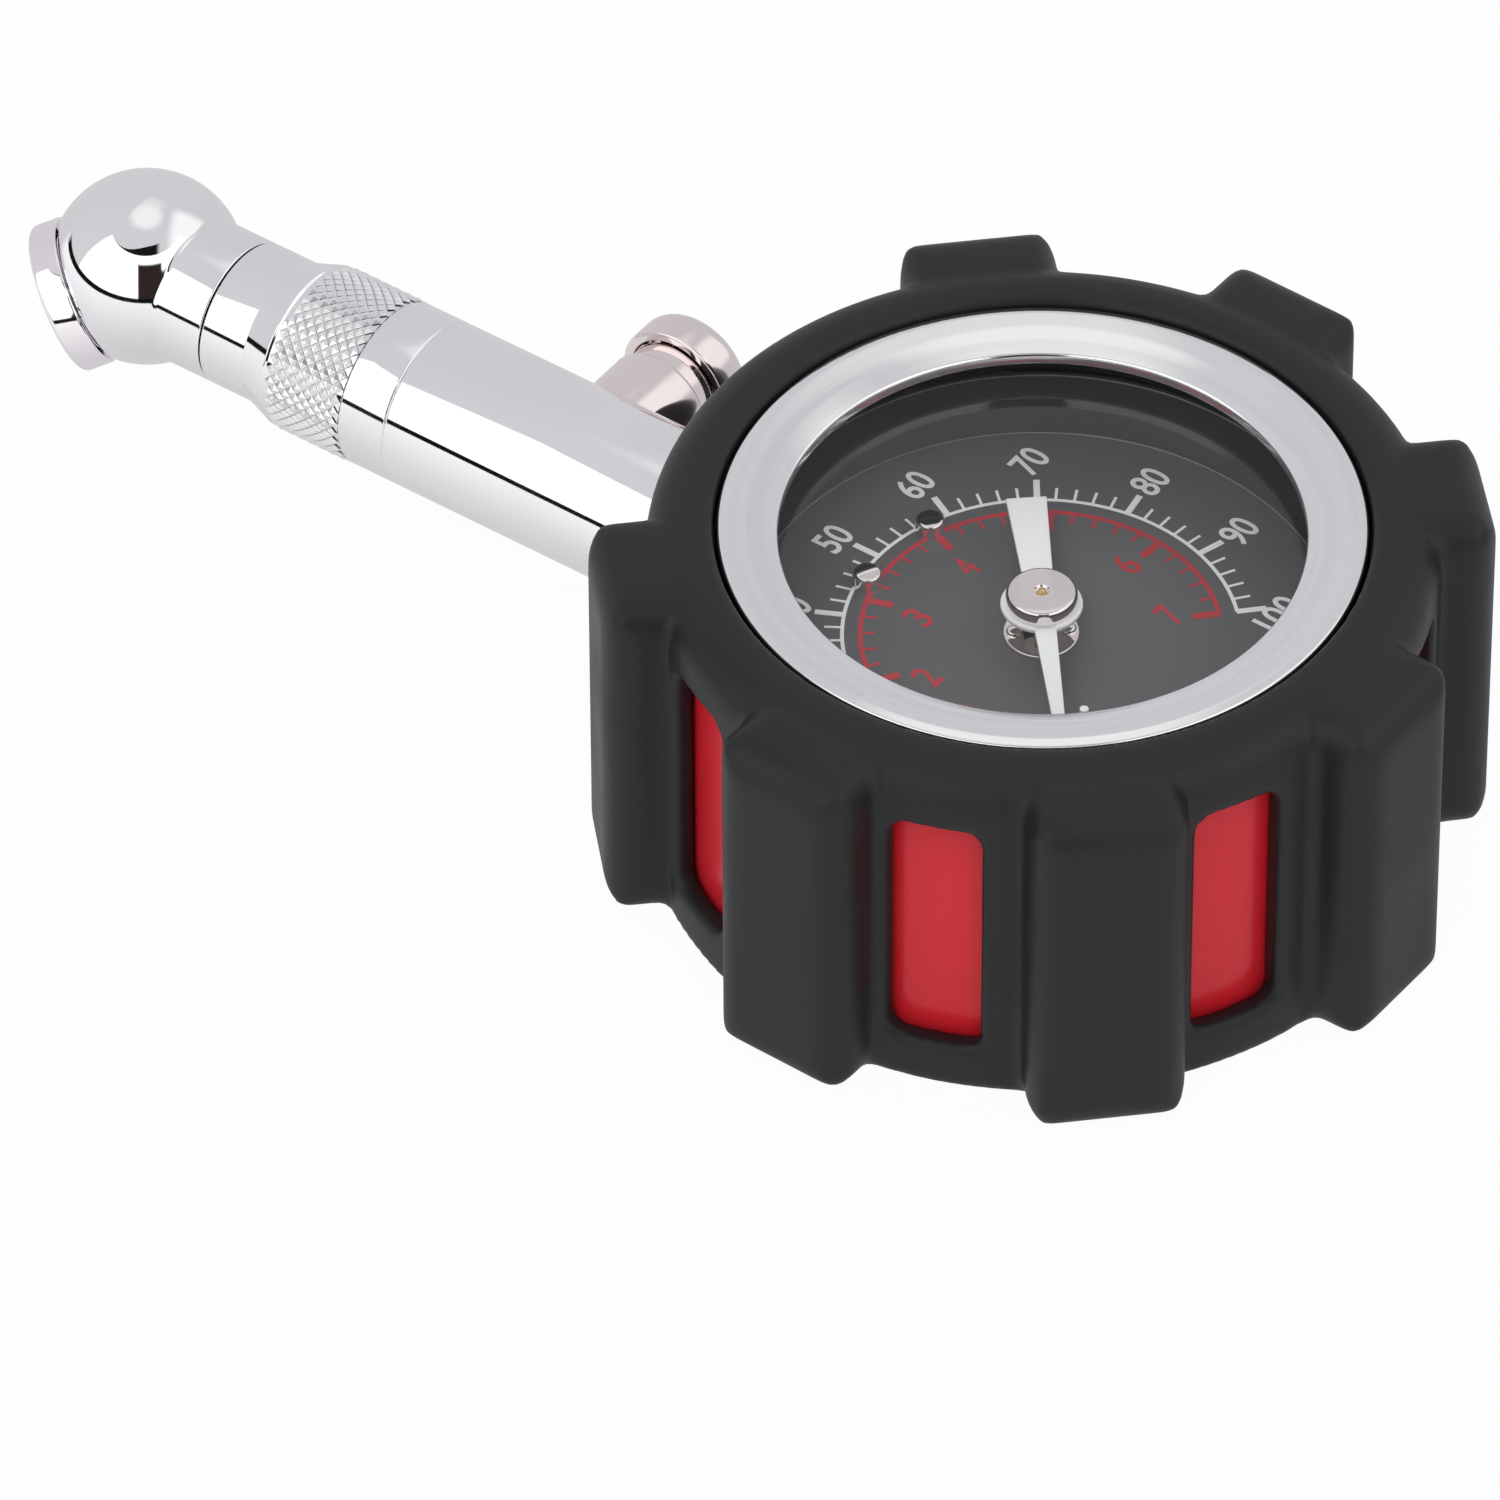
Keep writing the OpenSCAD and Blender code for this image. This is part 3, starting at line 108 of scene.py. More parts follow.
@dataclass
class NodeDesk:
    """Adds nodes to one node tree and links them."""

    tree: bpy.types.NodeTree

    def add(self, kind: str, **values: object) -> bpy.types.Node:
        """Adds a node.

        Args:
            kind: The node's type.
            values: Properties of the node, such as operation.

        Returns:
            The new node.
        """
        node = self.tree.nodes.new(kind)
        for name, value in values.items():
            setattr(node, name, value)
        return node

    def feed(self, source: object, socket: bpy.types.NodeSocket) -> None:
        """Links an output to a socket, or sets the socket to a plain value.

        Args:
            source: An output socket, or a number, colour or vector.
            socket: The input that it feeds.
        """
        if isinstance(source, bpy.types.NodeSocket):
            self.tree.links.new(source, socket)
        else:
            socket.default_value = source

    def maths(self, operation: str, *values: object, clamp: bool = False) -> bpy.types.NodeSocket:
        """Adds a Math node.

        Args:
            operation: The node's operation.
            values: Its inputs, sockets or numbers.
            clamp: Whether the result is held between 0 and 1.

        Returns:
            The node's output.
        """
        node = self.add("ShaderNodeMath", operation=operation, use_clamp=clamp)
        for value, socket in zip(values, node.inputs):
            self.feed(value, socket)
        return node.outputs[0]

    def span(self, value: object, low: float, high: float, out_low: float = 0.0,
             out_high: float = 1.0) -> bpy.types.NodeSocket:
        """Maps a value smoothly from one range to another.

        Args:
            value: The value to map.
            low: Where the first range starts.
            high: Where the first range ends.
            out_low: What low becomes.
            out_high: What high becomes.

        Returns:
            The mapped value.
        """
        node = self.add("ShaderNodeMapRange", interpolation_type="SMOOTHSTEP")
        for source, socket in zip((value, low, high, out_low, out_high), node.inputs):
            self.feed(source, socket)
        return node.outputs[0]

    def blend(self, factor: object, first: object, second: object) -> bpy.types.NodeSocket:
        """Mixes two colours.

        Args:
            factor: How much of the second colour shows.
            first: The first colour.
            second: The second colour.

        Returns:
            The mixed colour.
        """
        node = self.add("ShaderNodeMix", data_type="RGBA")
        self.feed(factor, node.inputs[0])
        self.feed(first, node.inputs[6])
        self.feed(second, node.inputs[7])
        return node.outputs[2]

    def times(self, *values: object) -> object:
        """Multiplies one or more values.

        Args:
            values: Sockets or numbers.

        Returns:
            Their product, or the value itself if there is only one.
        """
        product = values[0]
        for value in values[1:]:
            product = self.maths("MULTIPLY", product, value)
        return product

    def point(self, *parts: object) -> bpy.types.NodeSocket:
        """Makes a vector.

        Args:
            parts: Its X, Y and Z, sockets or numbers.

        Returns:
            The vector.
        """
        node = self.add("ShaderNodeCombineXYZ")
        for value, socket in zip(parts, node.inputs):
            self.feed(value, socket)
        return node.outputs[0]

    def parts(self, vector: bpy.types.NodeSocket) -> list[bpy.types.NodeSocket]:
        """Takes a vector apart.

        Args:
            vector: The vector.

        Returns:
            Its X, Y and Z.
        """
        node = self.add("ShaderNodeSeparateXYZ")
        self.feed(vector, node.inputs[0])
        return list(node.outputs)

    def around(self, radius: object, angle: object, height: object) -> bpy.types.NodeSocket:
        """The point at a radius, an angle and a height about Z."""
        return self.point(self.times(radius, self.maths("COSINE", angle)),
                          self.times(radius, self.maths("SINE", angle)), height)

    def mix(self, factor: object, first: object, second: object) -> bpy.types.NodeSocket:
        """Mixes two shaders.

        Args:
            factor: How much of the second shader shows.
            first: The first shader.
            second: The second shader.

        Returns:
            The mixed shader.
        """
        node = self.add("ShaderNodeMixShader")
        for source, socket in zip((factor, first, second), node.inputs):
            self.feed(source, socket)
        return node.outputs[0]


def rgba(colour: Colour) -> tuple[float, float, float, float]:
    """The colour with full opacity."""
    return (*colour, 1.0)


def new_group(name: str, inputs: dict[str, float], outputs: dict[str, str]) -> tuple[bpy.types.NodeTree, NodeDesk]:
    """Starts a shader node group.

    Args:
        name: The group's name.
        inputs: Its number inputs with their defaults. A Vector input is always there.
        outputs: Its outputs with their socket types.

    Returns:
        The tree and its desk.
    """
    tree = bpy.data.node_groups.new(name, "ShaderNodeTree")
    tree.interface.new_socket("Vector", in_out="INPUT", socket_type="NodeSocketVector")
    for label, value in inputs.items():
        socket = tree.interface.new_socket(label, in_out="INPUT", socket_type="NodeSocketFloat")
        socket.default_value = value
    for label, kind in outputs.items():
        tree.interface.new_socket(label, in_out="OUTPUT", socket_type=kind)
    return tree, NodeDesk(tree)


def grain_group() -> bpy.types.NodeTree:
    """Fine moulded or cast grain with broad, faint patches.

    Returns:
        A group that puts out the grain's height and a patch mask.
    """
    name = "moulded_grain"
    if name in bpy.data.node_groups:
        return bpy.data.node_groups[name]
    tree, desk = new_group(name, {"Fine": 2500.0, "Broad": 60.0},
                           {"Height": "NodeSocketFloat", "Patches": "NodeSocketFloat"})
    ins, outs = desk.add("NodeGroupInput"), desk.add("NodeGroupOutput")
    for label, target, detail in (("Fine", "Height", 3.0), ("Broad", "Patches", 2.0)):
        noise = desk.add("ShaderNodeTexNoise")
        noise.inputs["Detail"].default_value = detail
        desk.feed(ins.outputs["Vector"], noise.inputs["Vector"])
        desk.feed(ins.outputs[label], noise.inputs["Scale"])
        desk.feed(noise.outputs["Fac"], outs.inputs[target])
    return tree


def turned_group() -> bpy.types.NodeTree:
    """Hair-thin rings left by polishing on a lathe, round the vector's Z axis.

    Returns:
        A group that puts out the height of the rings and a mask of faint streaks.
    """
    name = "turned_rings"
    if name in bpy.data.node_groups:
        return bpy.data.node_groups[name]
    tree, desk = new_group(name, {"Density": 4000.0}, {"Height": "NodeSocketFloat", "Streaks": "NodeSocketFloat"})
    ins, outs = desk.add("NodeGroupInput"), desk.add("NodeGroupOutput")
    x, y, z = desk.parts(ins.outputs["Vector"])
    radius = desk.maths("SQRT", desk.maths("ADD", desk.times(x, x), desk.times(y, y)))
    turn = desk.times(desk.maths("ARCTAN2", y, x), RING_TWIST)
    for share, target in ((1.0, "Height"), (STREAK_SHARE, "Streaks")):
        density = desk.times(ins.outputs["Density"], share)
        noise = desk.add("ShaderNodeTexNoise")
        noise.inputs["Scale"].default_value = 1.0
        desk.feed(desk.point(desk.times(radius, density), turn, desk.times(z, density)), noise.inputs["Vector"])
        desk.feed(noise.outputs["Fac"], outs.inputs[target])
    return tree


class Grain(Enum):
    """What the surface of a finish is like from close by."""

    MOULDED = "moulded"
    TURNED = "turned"


@dataclass(frozen=True)
class Finish:
    """One finish of the gauge: its colour, gloss and surface.

    Attributes:
        name: The material's name.
        colour: Its base colour, linear.
        tint: The colour of its faint patches or streaks, linear.
        metallic: 1 for plated or uncoated metal.
        rough: Least and most roughness.
        grain: The kind of surface.
        fine: Scale of the fine grain or density of the rings, per metre.
        bump: How deep the grain looks, in metres.
        specular: Specular level of a finish that isn't metal.
        gap_shade_above: Height in millimetres over which the colour turns near-black, as painted shade of the dark gap
            between the bezel and the boot's lip, or 0 for none.
    """

    name: str
    colour: Colour
    tint: Colour
    metallic: float = 0.0
    rough: tuple[float, float] = (0.4, 0.5)
    grain: Grain = Grain.MOULDED
    fine: float = 2500.0
    bump: float = 0.00001
    specular: float = 0.5
    gap_shade_above: float = 0.0

    def material(self) -> bpy.types.Material:
        """The material, made the first time that it is asked for.

        Returns:
            A node material with the finish's colour, roughness and bump.
        """
        if self.name in bpy.data.materials:
            return bpy.data.materials[self.name]
        material = bpy.data.materials.new(self.name)
        material.use_nodes = True
        material.diffuse_color = rgba(self.colour)
        desk = NodeDesk(material.node_tree)
        shader = material.node_tree.nodes["Principled BSDF"]
        shader.inputs["Metallic"].default_value = self.metallic
        shader.inputs["Specular IOR Level"].default_value = self.specular
        place = desk.add("ShaderNodeTexCoord").outputs["Object"]
        group = desk.add("ShaderNodeGroup")
        group.node_tree = grain_group() if self.grain is Grain.MOULDED else turned_group()
        desk.feed(place, group.inputs["Vector"])
        group.inputs["Fine" if self.grain is Grain.MOULDED else "Density"].default_value = self.fine
        mask = desk.span(group.outputs["Patches" if self.grain is Grain.MOULDED else "Streaks"], *PATCH_RANGE)
        colour = desk.blend(mask, rgba(self.colour), rgba(self.tint))
        # Over the given height the colour turns near-black: painted shade of the dark gap between the bezel and the
        # boot's lip.
        if self.gap_shade_above:
            gap_shade_mask = desk.maths("GREATER_THAN", desk.parts(place)[2], self.gap_shade_above * MM)
            colour = desk.blend(gap_shade_mask, colour, rgba(GAP_SHADE_BLACK))
        desk.feed(colour, shader.inputs["Base Color"])
        desk.feed(desk.span(mask, 0.0, 1.0, *self.rough), shader.inputs["Roughness"])
        bump = desk.add("ShaderNodeBump")
        bump.inputs["Distance"].default_value = self.bump
        bump.inputs["Strength"].default_value = BUMP_STRENGTH
        desk.feed(group.outputs["Height"], bump.inputs["Height"])
        desk.feed(bump.outputs[0], shader.inputs["Normal"])
        return material


@dataclass(frozen=True)
class ClearFinish:
    """Clear flat glass: it lets everything through but what its faces mirror."""

    name: str = "lens_clear"
    ior: float = 1.46
    tint: Colour = (0.985, 0.99, 0.99)

    def material(self) -> bpy.types.Material:
        """The material, made the first time that it is asked for.

        Returns:
            A mix of a clear and a mirror shader, by the Fresnel factor.
        """
        if self.name in bpy.data.materials:
            return bpy.data.materials[self.name]
        material = bpy.data.materials.new(self.name)
        material.use_nodes = True
        desk = NodeDesk(material.node_tree)
        mirror = material.node_tree.nodes["Principled BSDF"]
        mirror.inputs["Base Color"].default_value = rgba((0.95, 0.96, 0.97))
        mirror.inputs["Metallic"].default_value = 1.0
        mirror.inputs["Roughness"].default_value = 0.03
        clear = desk.add("ShaderNodeBsdfTransparent")
        clear.inputs[0].default_value = rgba(self.tint)
        fresnel = desk.add("ShaderNodeFresnel")
        fresnel.inputs["IOR"].default_value = self.ior
        side = desk.add("ShaderNodeNewGeometry")
        outer = desk.maths("SUBTRACT", 1.0, side.outputs["Backfacing"])
        mixed = desk.mix(desk.times(fresnel.outputs[0], outer), clear.outputs[0], mirror.outputs[0])
        desk.feed(mixed, material.node_tree.nodes["Material Output"].inputs["Surface"])
        return material


BOOT_RUBBER = Finish("boot_rubber_matte", (0.0125, 0.013, 0.0138), (0.0155, 0.016, 0.0168), rough=(0.42, 0.5),
                     fine=1800.0, bump=0.00002, specular=0.32)
# Its red turns near-black above 28.2 mm: painted shade of the dark gap round the case's rim under the bezel.
RED_ENAMEL = Finish("case_red_enamel", (0.78, 0.02, 0.032), (0.82, 0.023, 0.036), rough=(0.2, 0.25),
                    fine=700.0, bump=0.000006, specular=0.3, gap_shade_above=28.2)
CHROME = Finish("polished_chrome", (0.93, 0.93, 0.945), (0.9, 0.9, 0.915), 1.0, (0.035, 0.06), Grain.MOULDED,
                900.0, 0.0000015)
KNURL_CHROME = Finish("knurl_chrome", (0.95, 0.95, 0.96), (0.92, 0.92, 0.93), 1.0, (0.2, 0.26), Grain.MOULDED,
                      900.0, 0.0000015)
BEZEL_CHROME = Finish("bezel_chrome_turned", (0.9, 0.9, 0.91), (0.84, 0.84, 0.85), 1.0, (0.07, 0.14), Grain.TURNED,
                      5000.0, 0.000006)
NICKEL = Finish("nickel_plate", (0.88, 0.8, 0.79), (0.84, 0.765, 0.755), 1.0, (0.05, 0.09), Grain.MOULDED,
                900.0, 0.0000015)
FOOT_NICKEL = Finish("foot_nickel_turned", (0.96, 0.92, 0.955), (0.93, 0.885, 0.925), 1.0, (0.05, 0.09), Grain.MOULDED,
                     900.0, 0.0000015)
BRASS = Finish("machined_brass", (0.72, 0.53, 0.24), (0.64, 0.45, 0.19), 1.0, (0.22, 0.34), Grain.TURNED,
               3000.0, 0.000006)
STEEL = Finish("plain_steel", (0.56, 0.56, 0.57), (0.47, 0.47, 0.48), 1.0, (0.22, 0.34), Grain.MOULDED,
               1500.0, 0.000004)
SEAL_RUBBER = Finish("seal_rubber_black", (0.012, 0.012, 0.013), (0.018, 0.018, 0.019), rough=(0.5, 0.6),
                     fine=2600.0, bump=0.000015, specular=0.3)
DIAL_PAINT = Finish("dial_grey_satin", (0.112, 0.111, 0.115), (0.119, 0.118, 0.122), rough=(0.42, 0.5),
                    fine=4000.0, bump=0.0000008, specular=0.4)
DISH_PAINT = Finish("dish_grey_satin", (0.085, 0.085, 0.088), (0.095, 0.095, 0.098), rough=(0.5, 0.56),
                    fine=3000.0, bump=0.000001, specular=0.3)
# Lighter grey for two thin rings at the dish's edges: painted highlights.
DISH_PAINTED_HIGHLIGHT = Finish("dish_painted_highlight", (0.3, 0.3, 0.3), (0.2, 0.2, 0.2), rough=(0.2, 0.3),
                   fine=300.0, bump=0.000002, specular=0.8)
WHITE_PAINT = Finish("pointer_white_paint", (0.95, 0.95, 0.96), (0.93, 0.93, 0.94), rough=(0.4, 0.48),
                     fine=3000.0, bump=0.000004)
WHITE_PRINT = Finish("dial_white_print", (0.96, 0.96, 0.97), (0.95, 0.95, 0.96), rough=(0.45, 0.55),
                     fine=6000.0, bump=0.000003)
RED_PRINT = Finish("dial_red_print", (0.55, 0.03, 0.045), (0.48, 0.026, 0.038), rough=(0.45, 0.55),
                   fine=6000.0, bump=0.000003)
LENS = ClearFinish()

SLOT_FINISH = {
    Slot.BOOT_RUBBER: BOOT_RUBBER, Slot.RED_ENAMEL: RED_ENAMEL, Slot.CHROME: CHROME, Slot.LENS: LENS,
    Slot.BLACK_RUBBER: SEAL_RUBBER, Slot.DIAL_GREY: DIAL_PAINT, Slot.WHITE: WHITE_PAINT,
    Slot.NICKEL: NICKEL, Slot.BRASS: BRASS, Slot.STEEL: STEEL,
}


# ---- Shapes ----


@dataclass(frozen=True)
class Axis:
    """A turning axis: a point on it in millimetres and its direction."""

    point: tuple[float, float, float]
    direction: tuple[float, float, float]

    def matrix(self) -> Matrix:
        """Maps local millimetres, with Z along the axis, to the model's metres."""
        turn = Vector((0, 0, 1)).rotation_difference(Vector(self.direction)).to_matrix().to_4x4()
        return Matrix.Translation(Vector(self.point) * MM) @ turn @ Matrix.Scale(MM, 4)


DIAL_AXIS = Axis((0.0, 0.0, 0.0), (0.0, 0.0, 1.0))
STEM_AXIS = Axis((0.0, 0.0, 13.4), (0.0, 1.0, 0.0))
BLEED_AXIS = Axis((0.0, 44.4, 13.4), (1.0, 0.0, 0.0))
MOUTH_AXIS = Axis((0.0, 87.15, 13.4), (-0.5896463, 0.7071068, -0.3902784))


def arc(centre: Point, radius: float, start: float, end: float, steps: int = 24) -> list[Point]:
    """Points along an arc.

    Args:
        centre: The arc's centre.
        radius: Its radius.
        start: The angle where it starts, in degrees.
        end: The angle where it ends, in degrees.
        steps: How many steps it has.

    Returns:
        The points, both ends included.
    """
    angles = [math.radians(start + (end - start) * i / steps) for i in range(steps + 1)]
    return [(centre[0] + radius * math.cos(a), centre[1] + radius * math.sin(a)) for a in angles]


def rounded(corners: list[tuple[float, float, float]], closed: bool, steps: int = 7) -> list[Point]:
    """A profile whose corners are rounded.

    Args:
        corners: Radius and height of each corner, with the radius that rounds it.
        closed: Whether the last corner joins the first.
        steps: How many steps each rounding has.

    Returns:
        The profile's points.
    """
    points: list[Point] = []
    count = len(corners)
    for i, (x, y, r) in enumerate(corners):
        inner = closed or 0 < i < count - 1
        if r <= 0 or not inner:
            points.append((x, y))
            continue
        here = Vector((x, y))
        back = (Vector(corners[i - 1][:2]) - here).normalized()
        on = (Vector(corners[(i + 1) % count][:2]) - here).normalized()
        half = back.angle(on) / 2
        centre = here + (back + on).normalized() * (r / math.sin(half))
        reach = r / math.tan(half)
        first, last = here + back * reach - centre, here + on * reach - centre
        sweep = first.angle_signed(last)
        for k in range(steps + 1):
            spoke = first.copy()
            spoke.rotate(Matrix.Rotation(-sweep * k / steps, 2))
            points.append(tuple(centre + spoke))
    return points


def turned_mesh(name: str, profile: list[Point], axis: Axis = DIAL_AXIS, closed: bool = False,
                segments: int = 160) -> bpy.types.Mesh:
    """Turns a profile about an axis.

    Args:
        name: The mesh's name.
        profile: Radius and distance along the axis of each point.
        axis: The axis.
        closed: Whether the profile is a closed ring. If not, it starts and ends on the axis.
        segments: Steps round the axis.

    Returns:
        A closed mesh whose faces point outwards.
    """
    shape = bmesh.new()
    rings: list[list[bmesh.types.BMVert]] = []
    for r, h in profile:
        if r < ON_AXIS:
            rings.append([shape.verts.new((0, 0, h))])
        else:
            rings.append([shape.verts.new((r * math.cos(TAU * i / segments), r * math.sin(TAU * i / segments), h))
                          for i in range(segments)])
    pairs = list(zip(rings, rings[1:])) + ([(rings[-1], rings[0])] if closed else [])
    for low, high in pairs:
        for i in range(segments):
            j = (i + 1) % segments
            corners = [low[i % len(low)], low[j % len(low)], high[j % len(high)], high[i % len(high)]]
            unique = list(dict.fromkeys(corners))
            if len(unique) > 2:
                shape.faces.new(unique)
    return finish_mesh(name, shape, axis.matrix())


def finish_mesh(name: str, shape: bmesh.types.BMesh, matrix: Matrix, sharp: float = 35.0) -> bpy.types.Mesh:
    """Writes a shape to a mesh in place, smooth but at its edges.

    Args:
        name: The mesh's name.
        shape: The shape, which is freed.
        matrix: Brings the shape to its place in metres.
        sharp: Edges past this angle, in degrees, stay sharp.

    Returns:
        The mesh.
    """
    bmesh.ops.transform(shape, matrix=matrix, verts=shape.verts)
    bmesh.ops.remove_doubles(shape, verts=shape.verts, dist=WELD)
    bmesh.ops.recalc_face_normals(shape, faces=shape.faces)
    for face in shape.faces:
        face.smooth = True
    mesh = bpy.data.meshes.new(name)
    shape.to_mesh(mesh)
    shape.free()
    mesh.set_sharp_from_angle(angle=math.radians(sharp))
    return mesh


def joined(name: str, meshes: list[bpy.types.Mesh], sharp: float = 35.0) -> bpy.types.Mesh:
    """Several meshes as one.

    Args:
        name: The new mesh's name.
        meshes: The meshes, which are removed.
        sharp: Edges past this angle, in degrees, stay sharp.

    Returns:
        The joined mesh.
    """
    shape = bmesh.new()
    for mesh in meshes:
        shape.from_mesh(mesh)
        bpy.data.meshes.remove(mesh)
    mesh = bpy.data.meshes.new(name)
    shape.to_mesh(mesh)
    shape.free()
    mesh.set_sharp_from_angle(angle=math.radians(sharp))
    return mesh


def show(mesh: bpy.types.Mesh, finish: Finish | ClearFinish) -> bpy.types.Object:
    """Puts a finished mesh in the scene.

    Args:
        mesh: The mesh, in its place.
        finish: The finish that it takes.

    Returns:
        Its object, at the origin.
    """
    piece = bpy.data.objects.new(mesh.name, mesh)
    bpy.context.scene.collection.objects.link(piece)
    mesh.materials.clear()
    mesh.materials.append(finish.material())
    return piece


def evaluated(piece: bpy.types.Object, name: str) -> bpy.types.Mesh:
    """The plain mesh that an object's modifiers make; the object is removed.

    Args:
        piece: The object with its modifiers.
        name: The new mesh's name.

    Returns:
        The mesh.
    """
    view = bpy.context.evaluated_depsgraph_get()
    mesh = bpy.data.meshes.new_from_object(piece.evaluated_get(view), depsgraph=view)
    mesh.name = name
    piece.modifiers.clear()
    bpy.data.objects.remove(piece)
    return mesh


def settle(mesh: bpy.types.Mesh, finish: Finish | ClearFinish, slot: Slot, *nodes: str,
           body: Body = Body.GAUGE) -> None:
    """Shows a mesh as a piece that rides on its body and stands for its nodes.

    Args:
        mesh: The piece's mesh, in its place.
        finish: The finish that it takes.
        slot: The record's slot of that finish; not used.
        nodes: The solids that it stands for.
        body: The body that it moves with.
    """
    piece = show(mesh, finish)
    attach(piece, body.value)
    if nodes:
        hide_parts(*nodes)
    log.info("%s: %d faces on %s", piece.name, len(piece.data.polygons), body.value)


# ---- Geometry Nodes ----


class RepeatTree:
    """A Geometry Nodes tree with named inputs that puts copies of one shape in rows round an axis."""

    def __init__(self, name: str, inputs: dict[str, tuple[str, object]]) -> None:
        """Starts the tree.

        Args:
            name: The tree's name.
            inputs: Each input's socket type and default.
        """
        self.tree = bpy.data.node_groups.new(name, "GeometryNodeTree")
        self.tree.interface.new_socket("Geometry", in_out="INPUT", socket_type="NodeSocketGeometry")
        self.tree.interface.new_socket("Geometry", in_out="OUTPUT", socket_type="NodeSocketGeometry")
        self.ids: dict[str, str] = {}
        for label, (kind, value) in inputs.items():
            socket = self.tree.interface.new_socket(label, in_out="INPUT", socket_type=kind)
            if value is not None:
                socket.default_value = value
            self.ids[label] = socket.identifier
        self.desk = NodeDesk(self.tree)
        self.ins = self.desk.add("NodeGroupInput")
        self.outs = self.desk.add("NodeGroupOutput")

    def copies(self, position: bpy.types.NodeSocket, turn: bpy.types.NodeSocket,
               shape: bpy.types.NodeSocket, count: bpy.types.NodeSocket) -> None:
        """Puts a copy of the shape on each place and ends the tree.

        Args:
            position: Each copy's place.
            turn: Each copy's turn.
            shape: The shape.
            count: How many copies there are.
        """
        points = self.desk.add("GeometryNodePoints")
        self.desk.feed(count, points.inputs["Count"])
        self.desk.feed(position, points.inputs["Position"])
        instances = self.desk.add("GeometryNodeInstanceOnPoints")
        self.desk.feed(points.outputs[0], instances.inputs["Points"])
        self.desk.feed(shape, instances.inputs["Instance"])
        self.desk.feed(turn, instances.inputs["Rotation"])
        real = self.desk.add("GeometryNodeRealizeInstances")
        self.desk.feed(instances.outputs[0], real.inputs[0])
        paint = self.desk.add("GeometryNodeSetMaterial")
        self.desk.feed(real.outputs[0], paint.inputs["Geometry"])
        self.desk.feed(self.ins.outputs["Material"], paint.inputs["Material"])
        self.desk.feed(paint.outputs[0], self.outs.inputs[0])

    def mesh(self, name: str, finish: Finish, **values: object) -> bpy.types.Mesh:
        """Runs the tree.

        Args:
            name: The new mesh's name.
            finish: The finish of the copies.
            values: The tree's inputs, with underscores for spaces.

        Returns:
            The copies as one plain mesh, in the tree's own millimetres.
        """
        carrier = bpy.data.objects.new(name, bpy.data.meshes.new(name + "_carrier"))
        bpy.context.scene.collection.objects.link(carrier)
        modifier = carrier.modifiers.new("repeat", "NODES")
        modifier.node_group = self.tree
        for label, value in values.items():
            modifier[self.ids[label.replace("_", " ")]] = value
        modifier[self.ids["Material"]] = finish.material()
        return evaluated(carrier, name)


def ring_marks_tree() -> RepeatTree:
    """Flat marks that stand round a dial at even steps.

    Returns:
        The tree, with the marks' count, radius, angles and sizes as inputs.
    """
    number = "NodeSocketFloat"
    repeat = RepeatTree("ring_marks", {
        "Count": ("NodeSocketInt", 51), "Middle Radius": (number, 16.0), "First": (number, 0.0), "Step": (number, 0.1),
        "Length": (number, 1.0), "Width": (number, 0.2), "Thickness": (number, 0.04), "Height": (number, 20.0),
        "Material": ("NodeSocketMaterial", None),
    })
    desk, ins = repeat.desk, repeat.ins.outputs
    index = desk.add("GeometryNodeInputIndex").outputs[0]
    angle = desk.maths("ADD", ins["First"], desk.times(index, ins["Step"]))
    place = desk.around(ins["Middle Radius"], angle, ins["Height"])
    bar = desk.add("GeometryNodeMeshCube")
    desk.feed(desk.point(ins["Length"], ins["Width"], ins["Thickness"]), bar.inputs["Size"])
    repeat.copies(place, desk.point(0.0, 0.0, own_angle(desk)), bar.outputs[0], ins["Count"])
    return repeat


def own_angle(desk: NodeDesk) -> bpy.types.NodeSocket:
    """The angle about Z of the point that a copy stands on."""
    x, y, _ = desk.parts(desk.add("GeometryNodeInputPosition").outputs[0])
    return desk.maths("ARCTAN2", y, x)


def knurl_tree() -> RepeatTree:
    """Blunt diamond pyramids in staggered rows round a shaft that lies on Z.

    Returns:
        The tree, with the knurl's counts, radius and sizes as inputs.
    """
    number = "NodeSocketFloat"
    repeat = RepeatTree("diamond_knurl", {
        "Around": ("NodeSocketInt", 40), "Rows": ("NodeSocketInt", 16), "Radius": (number, 6.8),
        "First Row": (number, 62.0), "Row Step": (number, 0.54), "Half Width": (number, 0.5),
        "Half Length": (number, 0.5), "Depth": (number, 0.2), "Blunt": (number, 0.2),
        "Material": ("NodeSocketMaterial", None),
    })
    desk, ins = repeat.desk, repeat.ins.outputs
    index = desk.add("GeometryNodeInputIndex").outputs[0]
    row = desk.maths("FLOOR", desk.maths("DIVIDE", desk.maths("ADD", index, 0.5), ins["Around"]))
    shift = desk.times(desk.maths("MODULO", row, 2.0), 0.5)
    spoke = desk.maths("ADD", desk.maths("SUBTRACT", index, desk.times(row, ins["Around"])), shift)
    angle = desk.maths("DIVIDE", desk.times(spoke, TAU), ins["Around"])
    along = desk.maths("ADD", ins["First Row"], desk.times(row, ins["Row Step"]))
    pyramid = desk.add("GeometryNodeMeshCone")
    pyramid.inputs["Vertices"].default_value = 4
    desk.feed(ins["Blunt"], pyramid.inputs["Radius Top"])
    pyramid.inputs["Radius Bottom"].default_value = 1.0
    pyramid.inputs["Depth"].default_value = 1.0
    fit = desk.add("GeometryNodeTransform")
    desk.feed(pyramid.outputs[0], fit.inputs["Geometry"])
    desk.feed(desk.point(ins["Half Length"], ins["Half Width"], ins["Depth"]), fit.inputs["Scale"])
    repeat.copies(desk.around(ins["Radius"], angle, along), desk.point(0.0, math.pi / 2, own_angle(desk)),
                  fit.outputs[0], desk.times(ins["Around"], ins["Rows"]))
    return repeat


# ---- Sub-assemblies ----


